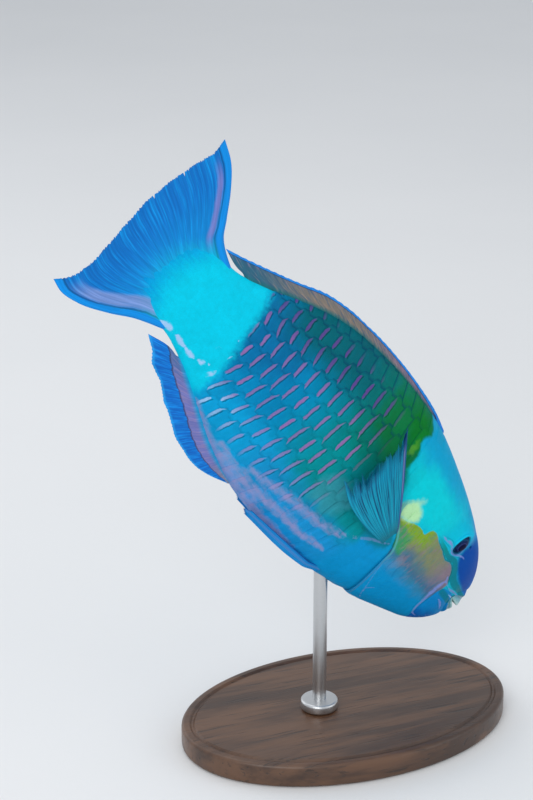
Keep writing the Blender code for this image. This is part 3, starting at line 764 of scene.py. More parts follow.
def make_skin(lattice, paint):
    """One skin over the whole fish, from the mouth's lining to inside the tail fin."""
    turn = np.arange(SEGMENTS) * 2 * math.pi / SEGMENTS
    rings, behind = skin_rings(turn)
    count = len(rings)
    x, z = rings[..., 0], rings[..., 2]
    marks = side_marks(x, z)
    run = np.gradient(rings, axis=0)
    normal = np.cross(run, np.roll(rings, -1, axis=1) - np.roll(rings, 1, axis=1))
    normal /= np.linalg.norm(normal, axis=-1, keepdims=True) + 1e-9
    outside = (np.arange(count) >= MOUTH_RINGS)[:, None]
    height = relief(x, z, marks) * soft(np.arange(count) - MOUTH_RINGS, 8, 20)[:, None]
    height = np.where(outside, height, 0) + lip_relief(count)[:, None]
    lips = soft(np.abs(np.cos(turn)), 1, 0.6) * 0.4 + 0.6
    shaped = rings + normal * (height * lips)[..., None]
    cells = lattice.at(*np.broadcast_arrays(behind[:, None], turn))
    table = np.stack([*cells, scaled(x, z, marks) * outside], -1)

    add = bpy.ops.mesh.primitive_uv_sphere_add
    skin = fresh("fish_skin", add, segments=SEGMENTS, ring_count=count + 1, radius=1)
    ball = corners(skin.data)
    ring = np.rint(np.arccos(np.clip(ball[:, 2], -1, 1)) / math.pi * (count + 1)).astype(int) - 1
    spoke = np.rint(np.arctan2(ball[:, 1], ball[:, 0]) / (2 * math.pi) * SEGMENTS).astype(int) % SEGMENTS
    poles = np.flatnonzero((ring < 0) | (ring >= count))
    ring = np.clip(ring, 0, count - 1)

    def spread(values):
        """Values of the rings, given to the ball's vertices, with a mean at its two poles."""
        found = values[ring, spoke].astype(float)
        for k in poles:
            found[k] = values[ring[k]].mean(axis=0)
        return found

    reshape(skin, spread(shaped))
    marks = {name: spread(values) for name, values in marks.items()}
    carry_marks(skin, spread(rings), marks, spread(table), spread(1 - outside + 0 * x))

    length = np.linalg.norm(run, axis=-1).mean(axis=1)
    share = np.concatenate([[0], np.cumsum(length)])
    share = np.concatenate([share / share[-1], [1]])
    uv = np.empty(2 * len(skin.data.loops), np.float32)
    skin.data.uv_layers[0].data.foreach_get("uv", uv)
    uv = uv.reshape(-1, 2).astype(float)
    uv[:, 1] = np.interp((1 - uv[:, 1]) * (count + 1), np.arange(count + 2), share)
    set_map(skin, uv)
    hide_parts("head", "lower_jaw", "trunk", "tail_stem")
    finished(skin, paint)


def plate_pattern():
    """One scale plate: a grid given its thickness, as shares along and across and which side it is."""
    plate, _, _ = grid("plate_pattern", PLATE_ACROSS, len(PLATE_STEPS) - 1)
    thicken(plate, 1 / METRES, -1)
    x, y, z = corners(plate.data).T
    faces = np.array([tuple(f.vertices) for f in plate.data.polygons])
    level = np.rint((y / 2 + 0.5) * (len(PLATE_STEPS) - 1)).astype(int)
    bpy.data.objects.remove(plate)
    return x / 2 + 0.5, level, z > -0.5, faces


def plate_map(across, share, upper, faces):
    """Where each corner of a plate's faces lies in its own patch of the map: the underside at one end."""
    under = (~upper[faces]).all(axis=1)[:, None]
    u, v = across[faces], share[faces]
    grow = np.where(upper[faces], 0.84, 0.96)
    out_u = np.where(under, u * 0.9 + 0.05, 0.5 + (u - 0.5) * grow)
    out_v = np.where(under, v * 0.1 + 0.03, 0.58 + (v - 0.5) * grow * 0.82)
    return out_u.ravel(), out_v.ravel()


def make_scales(side, label, lattice, paint, draws):
    """The coat of overlapping scale plates on one side of the fish. Its tables have a row for each plate."""
    across, level, upper, faces = plate_pattern()
    first, last = PLATE_STEPS[0], PLATE_STEPS[-1]
    square = np.array(PLATE_STEPS)[level]
    reach = (square - first) / (last - first)
    t = (2 * across - 1) * PLATE_HALF
    out = np.abs(t / PLATE_HALF)
    s = first + (last - PLATE_ROUNDING * out ** 2.6 - first) * reach
    if side > 0:
        faces = faces[:, ::-1]

    cells = lattice.cells()
    behind, turn = lattice.place(*cells.T)
    x, _, z = section(behind, turn).T
    strength = scaled(x, z, side_marks(x, z))
    keep = (strength > FAINTEST_SCALE) & (behind > SCALES_FROM) & (behind < SCALES_TO)
    cells, faint = cells[keep], soft(strength[keep, None], 0.8, 0.3)
    drawn = draws.normal(0, (PLATE_TILT_DRAW, PLATE_LIFT_DRAW), (len(cells), 2))
    tilt, raised = drawn.T[..., None]
    behind, turn = lattice.place(cells[:, :1] + s, cells[:, 1:] + t * (1 - 0.2 * faint))
    base = section(behind, turn)
    x, z = base[..., 0], base[..., 2]
    marks = side_marks(x, z)
    strength = scaled(x, z, marks)
    rise = reach ** 1.25
    lift = PLATE_LIFT * rise * (1 - 0.22 * out ** 2) + raised + (across - 0.5) * tilt * rise
    height = relief(x, z, marks) + 0.04 + (lift + 0.06) * (0.08 + 0.92 * strength ** 1.5)
    height = height - np.where(upper, 0, PLATE_THICKNESS) - 0.5 * soft(strength, 0.12, 0)
    height = height - faint * (0.2 * out ** 3 + 0.12 * (1 - reach) ** 2)
    points = (base + section_normal(behind, turn) * height[..., None]) * (1, side, 1)
    own_s = cells[:, :1] + np.clip(0.7 * square + 0.3 * s, -PLATE_REACH, PLATE_REACH)
    own_t = cells[:, 1:] + np.clip(t, -PLATE_REACH, PLATE_REACH)

    mesh = bpy.data.meshes.new(f"scales_{label}")
    all_faces = faces + np.arange(len(cells))[:, None, None] * len(s)
    mesh.from_pydata(points.reshape(-1, 3), [], all_faces.reshape(-1, 4).tolist())
    coat = bpy.data.objects.new(f"scales_{label}", mesh)
    bpy.context.scene.collection.objects.link(coat)
    reshape(coat, points)
    marks = {name: values.ravel() for name, values in marks.items()}
    table = np.stack([own_s, own_t, strength], -1).reshape(-1, 3)
    carry_marks(coat, (base * (1, side, 1)).reshape(-1, 3), marks, table)

    map_u, map_v = plate_map(across, reach, upper, faces)
    cells = cells - cells.min(axis=0)
    wide, high = cells.max(axis=0) + 1
    uv = [(cells[:, :1] + map_v * 0.5 + 0.2) / wide, (cells[:, 1:] + map_u * 0.96 + 0.02) / high]
    set_map(coat, np.stack(uv, -1))
    finished(coat, paint, 45)


def coons(edges, u, v):
    """A patch between four edges: base, margin, leading and trailing."""
    base, margin, leading, trailing = edges
    column = [u[:, None], 1 - u[:, None], v[:, None], 1 - v[:, None]]
    ends = leading(v) * column[1] + trailing(v) * column[0]
    rails = base(u) * column[3] + margin(u) * column[2]
    low, high = np.zeros(1), np.ones(1)
    inner = base(low) * column[1] + base(high) * column[0]
    outer = margin(low) * column[1] + margin(high) * column[0]
    return rails + ends - (inner * column[3] + outer * column[2])


def ray_ridges(u, v, rays, forks, width):
    """The ridge of the fin rays, 1 along a ray and 0 between, each forking at the given shares outward."""
    off = u * rays - np.floor(u * rays) - 0.5
    first, second = (size * soft(v, fork, fork + 0.22) for size, fork in zip((0.25, 0.125), forks))
    narrow = width * (1 - 0.45 * soft(v, forks[0], forks[0] + 0.2)) * (1 - 0.4 * soft(v, forks[1], 1))
    return np.max([hump(off - a * first - b * second, narrow) for a in (-1, 1) for b in (-1, 1)], axis=0)


def make_fin(name, node, edges, paint, steps, rays, forks, seed, uneven, wave, sink, thickness, rounded,
             width=0.2, splits=(), pinch=0):
    """A fin of rays and membrane between its edges, closed and thinning outwards."""
    piece, u, v = grid(name, *steps)
    ridge = ray_ridges(u, v, rays, forks, width)
    draws = np.random.default_rng(seed)
    ragged, notch, frayed = uneven
    lengths = draws.normal(0, ragged, rays + 2)
    index = np.floor(u * rays).astype(int)
    part = u * rays - index
    longer = lengths[index] * (1 - part) + lengths[index + 1] * part
    fray = draws.normal(0, 1, 400)[(u * 399).astype(int)] * frayed
    cut = notch * (1 - ridge) * soft(v, 0.55, 1) + np.abs(longer) * soft(v, 0.5, 1)
    cut = (cut + np.abs(fray) * soft(v, 0.9, 1)) * soft(u, 0, 0.08) * soft(u, 1, 0.92)
    for where, depth, half in splits:
        cut = cut + depth * hump(u - where, half) * soft(v, 0.6, 1)
    points = coons(edges, u, v * (1 - cut))
    out = np.linalg.norm(coons(edges, u, np.ones(u.shape)) - points, axis=1)
    size, across, outward, phase = wave
    points[:, 1] += size * np.sin(2 * math.pi * (across * u + outward * v) + phase) * soft(v, 0.05, 0.8)
    ends = [np.linalg.norm(coons(edges, np.full(v.shape, end), v) - points, axis=1) for end in (0, 1)]
    way, share = sink
    sunk = 1 - soft(v, 0, share)
    points = points + sunk[:, None] * np.array(way)
    points[:, 2] -= sunk * pinch * (points[:, 2] - TAIL_BASE_LEVEL)
    reshape(piece, points)
    carry(piece, fish=points, ray=np.stack([ridge, u, v], -1), edges=np.stack([out, *ends], -1))

    base, tip, rib = thickness
    thick = base + (tip - base) * soft(v, 0, 1) ** 0.7 + rib * (1 - 0.6 * v) * ridge * soft(v, 0.08, 0.3)
    thick = thick * (1 - 0.75 * soft(v, 0.985, 1))
    for edge in (0, 1):
        thick = thick * (0.35 + 0.65 * soft(np.abs(u - edge), 0, rounded))
    group = piece.vertex_groups.new(name="thickness")
    most = float(thick.max())
    for k, share in enumerate(thick / most):
        group.add([k], float(share), "REPLACE")
    thicken(piece, most, 0, "thickness")
    piece.vertex_groups.clear()

    used = np.empty(len(piece.data.loops), np.int32)
    piece.data.loops.foreach_get("vertex_index", used)
    second = (used >= len(u)).reshape(-1, 4).sum(axis=1) >= 2
    start = np.where(np.repeat(second, 4), 0.505, 0.005)
    set_map(piece, np.stack([u[used % len(u)], start + 0.49 * v[used % len(u)]], -1))
    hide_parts(node)
    finished(piece, paint)


def ridge_base(first, last, column, side):
    """The base of a fin along the back or the belly, between two distances behind the snout."""

    def place(share):
        behind = first + (last - first) * share
        return np.stack([-behind, 0 * share, side * body(column, behind)], -1)

    return place


def tail_base(share):
    height = TAIL_TOP + (TAIL_BOTTOM - TAIL_TOP) * share
    off = (height - TAIL_BASE_LEVEL) / TAIL_BASE_HALF
    return np.stack([TAIL_BASE_MIDDLE + TAIL_BASE_CURVE * off * off, 0 * share, height], -1)


def middle_fin(base, margin, leading=(), trailing=()):
    """The edges of a fin on the middle plane. Its two sides start at the ends of its base."""
    edges = [base, curve_through([(x, 0, z) for x, z in margin])]
    for share, between, tip in ((0, leading, margin[0]), (1, trailing, margin[-1])):
        outer = [(x, 0, z) for x, z in (*between, tip)]
        edges.append(curve_through([tuple(base(np.array([share]))[0]), *outer]))
    return edges


# Each fin's mesh steps, rays, the shares outward where they fork, the raggedness, notches and fray of its
# margin, its wave (size, across, outward, phase), how it sinks into the body, and its thickness at the
# base, the tip and the rays
FIN_BUILDS = {
    "dorsal": {
        "steps": (340, 30), "rays": 19, "forks": (0.55, 0.9), "seed": 3, "uneven": (0.01, 0.025, 0.006),
        "wave": (0.35, 2.5, 0.3, 0.4), "sink": ((0, 0, -2.4), 0.3), "thickness": (1.5, 0.45, 0.5),
        "rounded": 0.01,
    },
    "anal": {
        "steps": (260, 36), "rays": 12, "forks": (0.45, 0.8), "seed": 5, "uneven": (0.045, 0.014, 0.005),
        "wave": (0.8, 2.5, 0.4, 1), "sink": ((0, 0, 2.4), 0.25), "thickness": (1.5, 0.45, 0.5),
        "rounded": 0.012,
    },
    "tail": {
        "steps": (420, 88), "rays": 13, "forks": (0.22, 0.55), "seed": 7, "uneven": (0.014, 0.006, 0.007),
        "wave": (0.8, 1.2, 0.6, 0.8), "sink": ((8, 0, 0), 0.22), "thickness": (3, 0.5, 0.5),
        "rounded": 0.02, "splits": ((0.235, 0.045, 0.0022), (0.405, 0.024, 0.003), (0.575, 0.022, 0.0025)),
        "pinch": 0.13,
    },
    "pectoral": {
        "steps": (290, 76), "rays": 14, "forks": (0.35, 0.7), "seed": 9, "uneven": (0.055, 0.115, 0.014),
        "wave": (0.7, 1.4, 0.5, 0.3), "sink": ((1.5, -2.9, 0), 0.14), "thickness": (1.3, 0.45, 0.6),
        "rounded": 0.015, "splits": ((0.3, 0.06, 0.006), (0.52, 0.05, 0.006), (0.78, 0.05, 0.006)),
        "width": 0.22,
    },
    "pelvic": {
        "steps": (110, 60), "rays": 6, "forks": (0.45, 0.8), "seed": 11, "uneven": (0.02, 0.03, 0.006),
        "wave": (0.25, 0.5, 0.8, 0.3), "sink": ((1.5, -1, 2.6), 0.16), "thickness": (1, 0.45, 0.35),
        "rounded": 0.04,
    },
}


def make_fins(paints):
    """The dorsal, anal and tail fins on the middle plane, and the paired fins at the sides."""
    back, belly = ridge_base(DORSAL_FROM, DORSAL_TO, 1, 1), ridge_base(ANAL_FROM, ANAL_TO, 2, -1)
    middle = {
        "dorsal": middle_fin(back, DORSAL_MARGIN, trailing=[DORSAL_REAR]),
        "anal": middle_fin(belly, ANAL_MARGIN, trailing=[ANAL_REAR]),
        "tail": middle_fin(tail_base, TAIL_MARGIN, TAIL_UPPER, TAIL_LOWER),
    }
    for name, edges in middle.items():
        make_fin(f"{name}_rays", name + "_fin", edges, paints[name], **FIN_BUILDS[name])
    for side, label, pelvic_lift in ((1, "left", LEFT_PELVIC_LIFT), (-1, "right", 0)):
        for name, outline, lift in (("pectoral", PECTORAL, 0), ("pelvic", PELVIC, pelvic_lift)):
            root = outline[0][0][0]
            edges = [
                curve_through([(x, side * y, z + (root - x) * lift) for x, y, z in edge])
                for edge in outline
            ]
            build = dict(FIN_BUILDS[name])
            way, share = build["sink"]
            build["sink"] = (np.array(way) * (1, side, 1), share)
            make_fin(f"{name}_rays_{label}", f"{name}_fin_{label}", edges, paints[name], **build)


def make_eye(side, label, paint):
    """An eyeball with a raised pupil, looking out and a little ahead and up."""
    add = bpy.ops.mesh.primitive_uv_sphere_add
    eye = fresh(f"eyeball_{label}", add, segments=96, ring_count=64, radius=1)
    ball = corners(eye.data)
    angle = np.degrees(np.arccos(np.clip(ball[:, 2], -1, 1)))
    gaze = unit(np.array(EYE_GAZE) * (1, side, 1))
    flat = unit(np.cross(gaze, (0, 0, 1)))
    radius = EYE_RADIUS * (1 - 0.05 * soft(angle, 60, 10))
    radius = radius + 0.18 * soft(angle, 24, 18) - 0.1 * hump(angle - 27, 3)
    axes = np.array([flat, np.cross(flat, gaze), gaze])
    points = ball * radius[:, None] @ axes + np.array(EYE_CENTRE) * (1, side, 1)
    reshape(eye, points)
    if np.linalg.det(axes) < 0:
        eye.data.flip_normals()
    carry(eye, fish=points, gaze=angle)
    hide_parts("eye_" + label)
    finished(eye, paint)


def make_orbit(side, label, lattice, paint):
    """The soft raised rim of skin round an eye."""
    add = bpy.ops.mesh.primitive_torus_add
    rim = fresh(f"orbit_{label}", add, major_segments=112, minor_segments=28, major_radius=1,
                minor_radius=ORBIT_TUBE)
    across, up, level = corners(rim.data).T
    round_eye = np.arctan2(up, across)
    off = (np.hypot(across, up) - 1) / ORBIT_TUBE
    radius = (ORBIT_INNER + ORBIT_OUTER) / 2 + off * (ORBIT_OUTER - ORBIT_INNER) / 2
    ahead, height, long, tall = ORBIT
    x, z = ahead + radius * long * np.cos(round_eye), height + radius * tall * np.sin(round_eye)
    top = (orbit_swell(x, z) + 1.15) * hump(radius - ORBIT_CREST, 1.3) - 0.9
    top = top - 0.7 * soft(radius, 7.4, ORBIT_OUTER)
    lay_on_flank(rim, side, x, z, np.where(level >= -1e-6, top, top - 0.9), lattice)
    if side > 0:
        rim.data.flip_normals()
    finished(rim, paint)


def make_gill_cover(side, label, lattice, paint):
    """The free rear edge of a gill cover, standing a little off the flank behind it."""
    piece, u, v = grid(f"gill_cover_{label}", 150, 14)
    line = curve_through(GILL_EDGE)
    spread = np.linspace(0, 1, 2000)
    first, last = (np.interp(-height, -line(spread)[:, 1], spread) for height in GILL_COVER_ENDS)
    share = first + (last - first) * u
    edge = line(share)
    run = unit(line(share + 0.002) - line(share - 0.002))
    ends = soft(u, 0, 0.1) * soft(u, 1, 0.9)
    reach = GILL_COVER_WIDTH * (1 - v) - 0.35 * ends * v
    x, z = edge[:, 0] - run[:, 1] * reach, edge[:, 1] + run[:, 0] * reach
    plain = 0.55 * soft(reach, -0.5, 4) * soft(reach, 26, 8)
    lift = (0.95 + 0.12 * np.sin(u * 21)) * soft(v, 0, 0.75) * ends - 0.75
    lay_on_flank(piece, side, x, z, lift + plain * (1 - 0.3 * v), lattice)
    if side < 0:
        piece.data.flip_normals()
    thicken(piece, GILL_COVER_THICKNESS, -1)
    finished(piece, paint)


def make_beak(name, node, up, paint):
    """One jaw's fused teeth, the upper's where up is 1: a bent plate with a finely notched cutting edge."""
    piece, u, v = grid(name, 150, 22)
    turn = math.pi / 2 - BEAK_SPAN + 2 * BEAK_SPAN * u
    side_share = 1 - (np.sin(turn) - math.cos(BEAK_SPAN)) / (1 - math.cos(BEAK_SPAN))
    lips_middle = (mouth_rim(turn)[:, 2] + mouth_rim(-turn)[:, 2]) / 2
    level = BITE_LEVEL + (lips_middle - BITE_LEVEL) * side_share
    gap = BITE_GAP_FRONT + (BITE_GAP_SIDE - BITE_GAP_FRONT) * side_share
    root = mouth_rim(turn * up) - np.array((0, 0, BEAK_DROP * up))
    inward = unit(np.stack([-np.ones(len(u)), -BEAK_INWARD * np.cos(turn), 0 * u], -1))
    teeth = TOOTH_HEIGHT * (np.abs(np.sin(u * math.pi * BEAK_TEETH)) - 1)
    fall = np.stack([BEAK_LEAN * (1 - side_share), 0 * u, level + up * (gap / 2 - teeth) - root[:, 2]], -1)
    crown = 0.55 * np.sin(v * math.pi * 0.8) * (1 - 0.4 * side_share)
    cobbles = 0.03 * np.sin(u * math.pi * 2 * BEAK_TEETH) * np.sin(v * 25)
    middle = 0.125 * hump(u - 0.5, 0.016) * v
    points = root + fall * v[:, None] - inward * (crown + cobbles - middle - BEAK_GAP)[:, None]
    reshape(piece, points + np.array((0, 0, BEAK_ROOT * up)) * soft(v, 0.16, 0)[:, None])
    carry(piece, fish=points, plate=np.stack([u, v, side_share], -1))
    if up > 0:
        piece.data.flip_normals()
    thicken(piece, BEAK_THICKNESS * 0.8, -1)
    bevel(piece, BEAK_SOFT_EDGE, 2, 50)
    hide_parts(node)
    finished(piece, paint)


# Colours that name a part of the fish, in linear light
STEM_CYAN = (0.002, 0.58, 0.78)
TAIL_BLUE = (0.002, 0.24, 0.66)
DEEP_BLUE = (0.003, 0.15, 0.36)
FLANK_BLUE = (0.001, 0.24, 0.5)
FLANK_TEAL = (0.001, 0.27, 0.3)
UPPER_TEAL = (0.001, 0.125, 0.16)
FRONT_GREEN = (0.001, 0.185, 0.135)
VIVID_GREEN = (0.003, 0.175, 0.052)
LOWER_BLUE = (0.003, 0.34, 0.66)
OLIVE_CYAN = (0.045, 0.33, 0.42)
BELLY_BLUE = (0.01, 0.28, 0.62)
KEEL_BLUE = (0.004, 0.27, 0.66)
BELLY_LILAC = (0.34, 0.31, 0.58)
HEAD_CYAN = (0.003, 0.48, 0.66)
BRIGHT_CYAN = (0.002, 0.6, 0.68)
NAPE_BLUE = (0.003, 0.33, 0.6)
BROW_BLUE = (0.008, 0.26, 0.58)
THROAT_BLUE = (0.003, 0.29, 0.62)
SNOUT_BLUE = (0.000, 0.066, 0.36)
NOSE_BLUE = (0.001, 0.13, 0.46)
CHEEK_TAN = (0.22, 0.25, 0.13)
CHEEK_PINK = (0.24, 0.19, 0.24)
CHEEK_GREY = (0.035, 0.16, 0.31)
OLIVE = (0.22, 0.4, 0.02)
GILL_GREEN = (0.03, 0.34, 0.1)
SPOT_YELLOW = (0.5, 0.82, 0.4)
TEAL = (0.001, 0.19, 0.24)
LILAC = (0.21, 0.28, 0.64)
PALE_LILAC = (0.38, 0.6, 0.9)
BAR_PINK = (0.3, 0.15, 0.42)
BAR_PURPLE = (0.12, 0.06, 0.28)
BAR_PALE = (0.24, 0.28, 0.62)
MOUTH_PINK = (0.2, 0.1, 0.14)


def tail_share(place, streak):
    """How far the stem's cyan has turned to the tail's blue, on the skin and the fin alike."""
    x, _, z = place.parts()
    off = (z - TAIL_BASE_LEVEL) / TAIL_BASE_HALF
    behind = x - TAIL_BASE_CURVE * off * off
    combed = place.noise(0.9, 2, 0.6, (0.12, 0.3, 1)) - 0.5
    return (behind + 10 * combed + 8 * (streak - 0.5)).step(-277, -305)


def skin_paint():
    """Airbrushed colours over the whole body, painted lines on the face, and a bar on each scale."""
    paint = Paint("parrotfish_skin", specular=0.03, coat=0.02, coat_roughness=0.15)
    place = paint.fish()
    x, _, z = place.parts()
    wander, ripple = place.noise(0.11, 3) - 0.5, place.noise(0.42, 3) - 0.5
    grain = place.noise(1.6, 4, 0.6)
    wx, wz = x + 16 * wander, z + 12 * (place.noise(0.09) - 0.5)
    gill, eye = paint.attribute("gill"), paint.attribute("eye")
    strokes = {name: paint.attribute(name) for name in STROKES}

    def depth(name, rough):
        """A region's depth with its border made a little uneven."""
        return paint.attribute(name) + rough * ripple

    def oval(ahead, up, long, tall, edge):
        """An airbrushed patch: 1 inside an oval, fading out across its border."""
        across, over = (wx - ahead) / long, (wz - up) / tall
        return (across * across + over * over).step(1 + edge, 1 - edge)

    colour = paint.layers(
        FLANK_BLUE,
        (FLANK_TEAL, wx.step(-205, -150)),
        (DEEP_BLUE, oval(-226, 12, 24, 22, 0.7) * 0.9),
        (UPPER_TEAL, wz.step(6, 34) * wx.step(-246, -214)),
        (FRONT_GREEN, wx.step(-176, -140) * wz.step(-8, 14)),
        (VIVID_GREEN, oval(-126, 34, 26, 20, 0.6)),
        ((0.002, 0.2, 0.014), oval(-121, 40, 8.5, 10, 0.8) * 0.7),
        ((0.13, 0.42, 0.03), oval(-120, 30.5, 2.8, 4.8, 0.9) * 0.5),
        (LOWER_BLUE, wz.step(-14, -34) * wx.step(-150, -190)),
        (BELLY_BLUE, wz.step(-22, -42) * wx.step(-200, -160)),
        (OLIVE_CYAN, oval(-136, -20, 12, 11, 0.7) * 0.7),
        (KEEL_BLUE, wz.step(-48, -58) * 0.8),
        (STEM_CYAN, (depth("stem", 6) + 5 * wander).step(-3.5, 4)),
        (TAIL_BLUE, tail_share(place, grain)),
    )
    head = paint.layers(
        HEAD_CYAN,
        (BRIGHT_CYAN, oval(-88, 20, 28, 15, 0.8)),
        (NAPE_BLUE, wz.step(25, 43) * 0.85),
        (BROW_BLUE, wx.step(-56, -34) * wz.step(6, 26)),
        (THROAT_BLUE, wz.step(-6, -26)),
        (THROAT_BLUE, oval(-96, -34, 18, 30, 0.6) * 0.5),
    )
    nose = paint.layers(SNOUT_BLUE, (NOSE_BLUE, wx.step(-14, -4)), (BROW_BLUE, wz.step(20, 32) * 0.6))
    teal = paint.mix((0.002, 0.26, 0.24), TEAL, x.step(-56, -44))
    teal_line = (strokes["teal"] + 0.35 * ripple).step(0, 0.45) * x.step(-70, -52)
    fin_root = oval(-98, -16, 12, 8, 0.6) * gill.step(-1, -4)
    scratch = place.noise(0.55, 4, 0.65, (1, 1, 0.2))
    cheek = paint.layers(
        CHEEK_TAN,
        (CHEEK_PINK, wx.step(-56, -36)),
        (OLIVE, wx.step(-62, -74) * wz.step(-9, 1)),
        (CHEEK_GREY, wz.step(-4, -15) * 0.9),
        (GILL_GREEN, oval(-86, -9, 8, 8, 0.6) * 0.8),
        (CHEEK_PINK, oval(-73.8, -19, 4.6, 5.5, 0.8) * 0.8),
        (CHEEK_PINK, oval(-59, -26.5, 5, 3, 0.8) * 0.5),
        (CHEEK_PINK, scratch.step(0.5, 0.66) * 0.55),
        ((0.05, 0.22, 0.26), scratch.step(0.47, 0.34) * 0.5),
    )
    cheek_border = abs(depth("cheek", 1.2) + 0.4).step(0.8, 0.2) * x.step(-66, -60) * z.step(-6, -2)
    warm = paint.mix(SPOT_YELLOW, (0.3, 0.7, 0.52), wz.step(10, 15))
    jaw = paint.layers(
        (0.003, 0.24, 0.6),
        ((0.005, 0.12, 0.48), wz.step(-20, -32)),
        (teal, strokes["teal"].step(-0.2, 0.5) * 0.8),
    )
    lilac = (strokes["lilac"] + 0.9 * ripple).step(0.12, 0.75) * (0.5 + 0.5 * x.step(-72, -60))
    lilac_rim = abs(strokes["lilac"] + 0.3).step(0.35, 0.05) * x.step(-66, -60)
    colour = paint.layers(
        colour,
        (head, (depth("nape", 1.6) * (1 + 1.6 * z.step(18, 28))).step(-3, 3)),
        (THROAT_BLUE, z.step(-26, -36) * x.step(-118, -96) * 0.8),
        ((0.004, 0.2, 0.27), fin_root * 0.85),
        (nose, depth("snout", 1.5).step(-3, 2.5)),
        (teal, teal_line * 0.9),
        (cheek, depth("cheek", 1.2).step(-0.4, 0.5) * wz.step(-29, -13)),
        ((0.003, 0.13, 0.16), cheek_border * 0.75),
        (warm, depth("spot", 3.2).step(-2.2, 2) * 0.92),
        (jaw, depth("jaw", 0.4).step(-0.4, 0.4)),
        (LILAC, lilac * (0.45 + 0.8 * place.noise(0.9))),
        ((0.004, 0.1, 0.24), 0.35 * lilac_rim),
    )

    slit = z.step(12, 5)
    gill_rim = abs(gill - 0.6 + 0.3 * ripple).step(0.9, 0.3) * slit
    gill_shadow = gill.step(-2.4, -0.4) * gill.step(0.2, -0.2) * slit
    eye_bulge = eye.step(10.5, 6.5) * (x - z).step(-60, -68)
    eye_rim = abs(eye - 6.4).step(0.9, 0.1) * (x - z).step(-66, -58)
    colour = paint.layers(
        colour,
        (paint.mix((0.1, 0.42, 0.4), (0.05, 0.24, 0.48), z.step(-10, -30)), gill_rim * 0.8),
        (None, 1 - 0.18 * gill_shadow),
        ((0.005, 0.55, 0.8), eye_bulge * 0.85),
        ((0.01, 0.1, 0.22), eye.step(6.3, 5.6)),
        ((0.1, 0.2, 0.52), eye_rim * 0.7),
    )

    # Each scale's own column and row, and the places s behind and t up from its middle
    column, row_place, coat = paint.attribute("lattice", "Vector").parts()
    row = paint.math("ROUND", row_place)
    across = column - 0.5 * paint.math("FLOORED_MODULO", row, 2)
    own = paint.math("ROUND", across)
    s, t = across - own, row_place - row
    jitter = paint.node("TexWhiteNoise", {"noise_dimensions": "2D"}, {"Vector": paint.join(own, row)}) - 0.5
    trunk = gill.step(-2, -7)
    on_flank = trunk * depth("stem", 3).step(1, -2.5) * depth("nape", 3).step(0.5, -6)
    net = paint.math("MAXIMUM", abs(t).step(0.42, 0.5), s.step(0.36, 0.49)) * on_flank * z.step(-46, -36)
    glow = s.step(-0.1, 0.25) * s.step(0.3, 0.2) * abs(t).step(0.45, 0.2)

    # The bar near each scale's free edge, with a dark line before it
    wobble = place.noise(0.33) - 0.5
    along_bar = t * (1.06 + 0.3 * jitter)
    square = along_bar * along_bar * 4.9
    lens = 1 - square * square * square
    bend = s + 0.1 * t + 0.16 * wobble + 0.04 * ripple + 0.06 * jitter
    strong = x.step(-132, -150) * z.step(47, 36) * z.step(-46, -38) * depth("stem", 3).step(0.5, -2)
    bar = (abs(bend - 0.375) - 0.095 * lens).step(0.035, -0.03) * s.step(0.5, 0.47) * strong
    line = (abs(bend - 0.235) - 0.03 * lens).step(0.05, 0) * abs(t).step(0.48, 0.36) * strong
    bar_colour = paint.layers(
        BAR_PINK,
        (BAR_PURPLE, wz.step(10, 30)),
        (BAR_PALE, z.step(-18, -34) * 0.8),
        (PALE_LILAC, z.step(-20, -34) * x.step(-190, -222)),
    )
    blotch = place.noise(0.16, 3, 0.6, (1, 1, 1.6)) - 0.5
    stripe = (strokes["stripe"] + 2.8 * blotch + 0.6 * ripple).step(-0.8, 1.1)
    pale = (strokes["pale"] + 0.9 * blotch + 0.8 * ripple).step(0, 0.7)
    nostril = paint.vector("DISTANCE", paint.join(x, 0, z), (NOSTRIL[0], 0, NOSTRIL[1]), "Value")
    colour = paint.layers(
        colour,
        (None, 1 + (0.16 * jitter + 0.05 * s) * coat * trunk),
        (None, 0.87 + 0.26 * place.noise(0.3, 3, 0.6)),
        (None, 1 - 0.22 * net),
        ((0.001, 0.055, 0.15), net * wz.step(4, 28) * x.step(-112, -144) * 0.55),
        (None, 1 + 0.12 * glow * on_flank),
        (None, 1 - 0.5 * line),
        (bar_colour, bar * (0.8 + 0.3 * jitter)),
        (BELLY_LILAC, stripe * (0.68 + 0.3 * s)),
        (PALE_LILAC, pale * 0.95),
        ((0.001, 0.01, 0.05), nostril.step(1.1, 0.5)),
        (MOUTH_PINK, paint.attribute("mouth")),
        (None, 0.86 + 0.28 * grain),
    )
    sockets = {"Vector": paint.join(s + 0.9, t * 1.7), "Scale": 9, "Distortion": 1.2, "Detail": 1}
    rings = paint.node("TexWave", {"wave_type": "RINGS", "rings_direction": "SPHERICAL"}, sockets, "Fac")
    bumps = ((rings * coat * trunk, 0.00005), (place.noise(3.4, 3, 0.6), 0.00009), (grain, 0.00012))
    return paint.finish(colour, 0.36 + 0.22 * grain, *bumps)


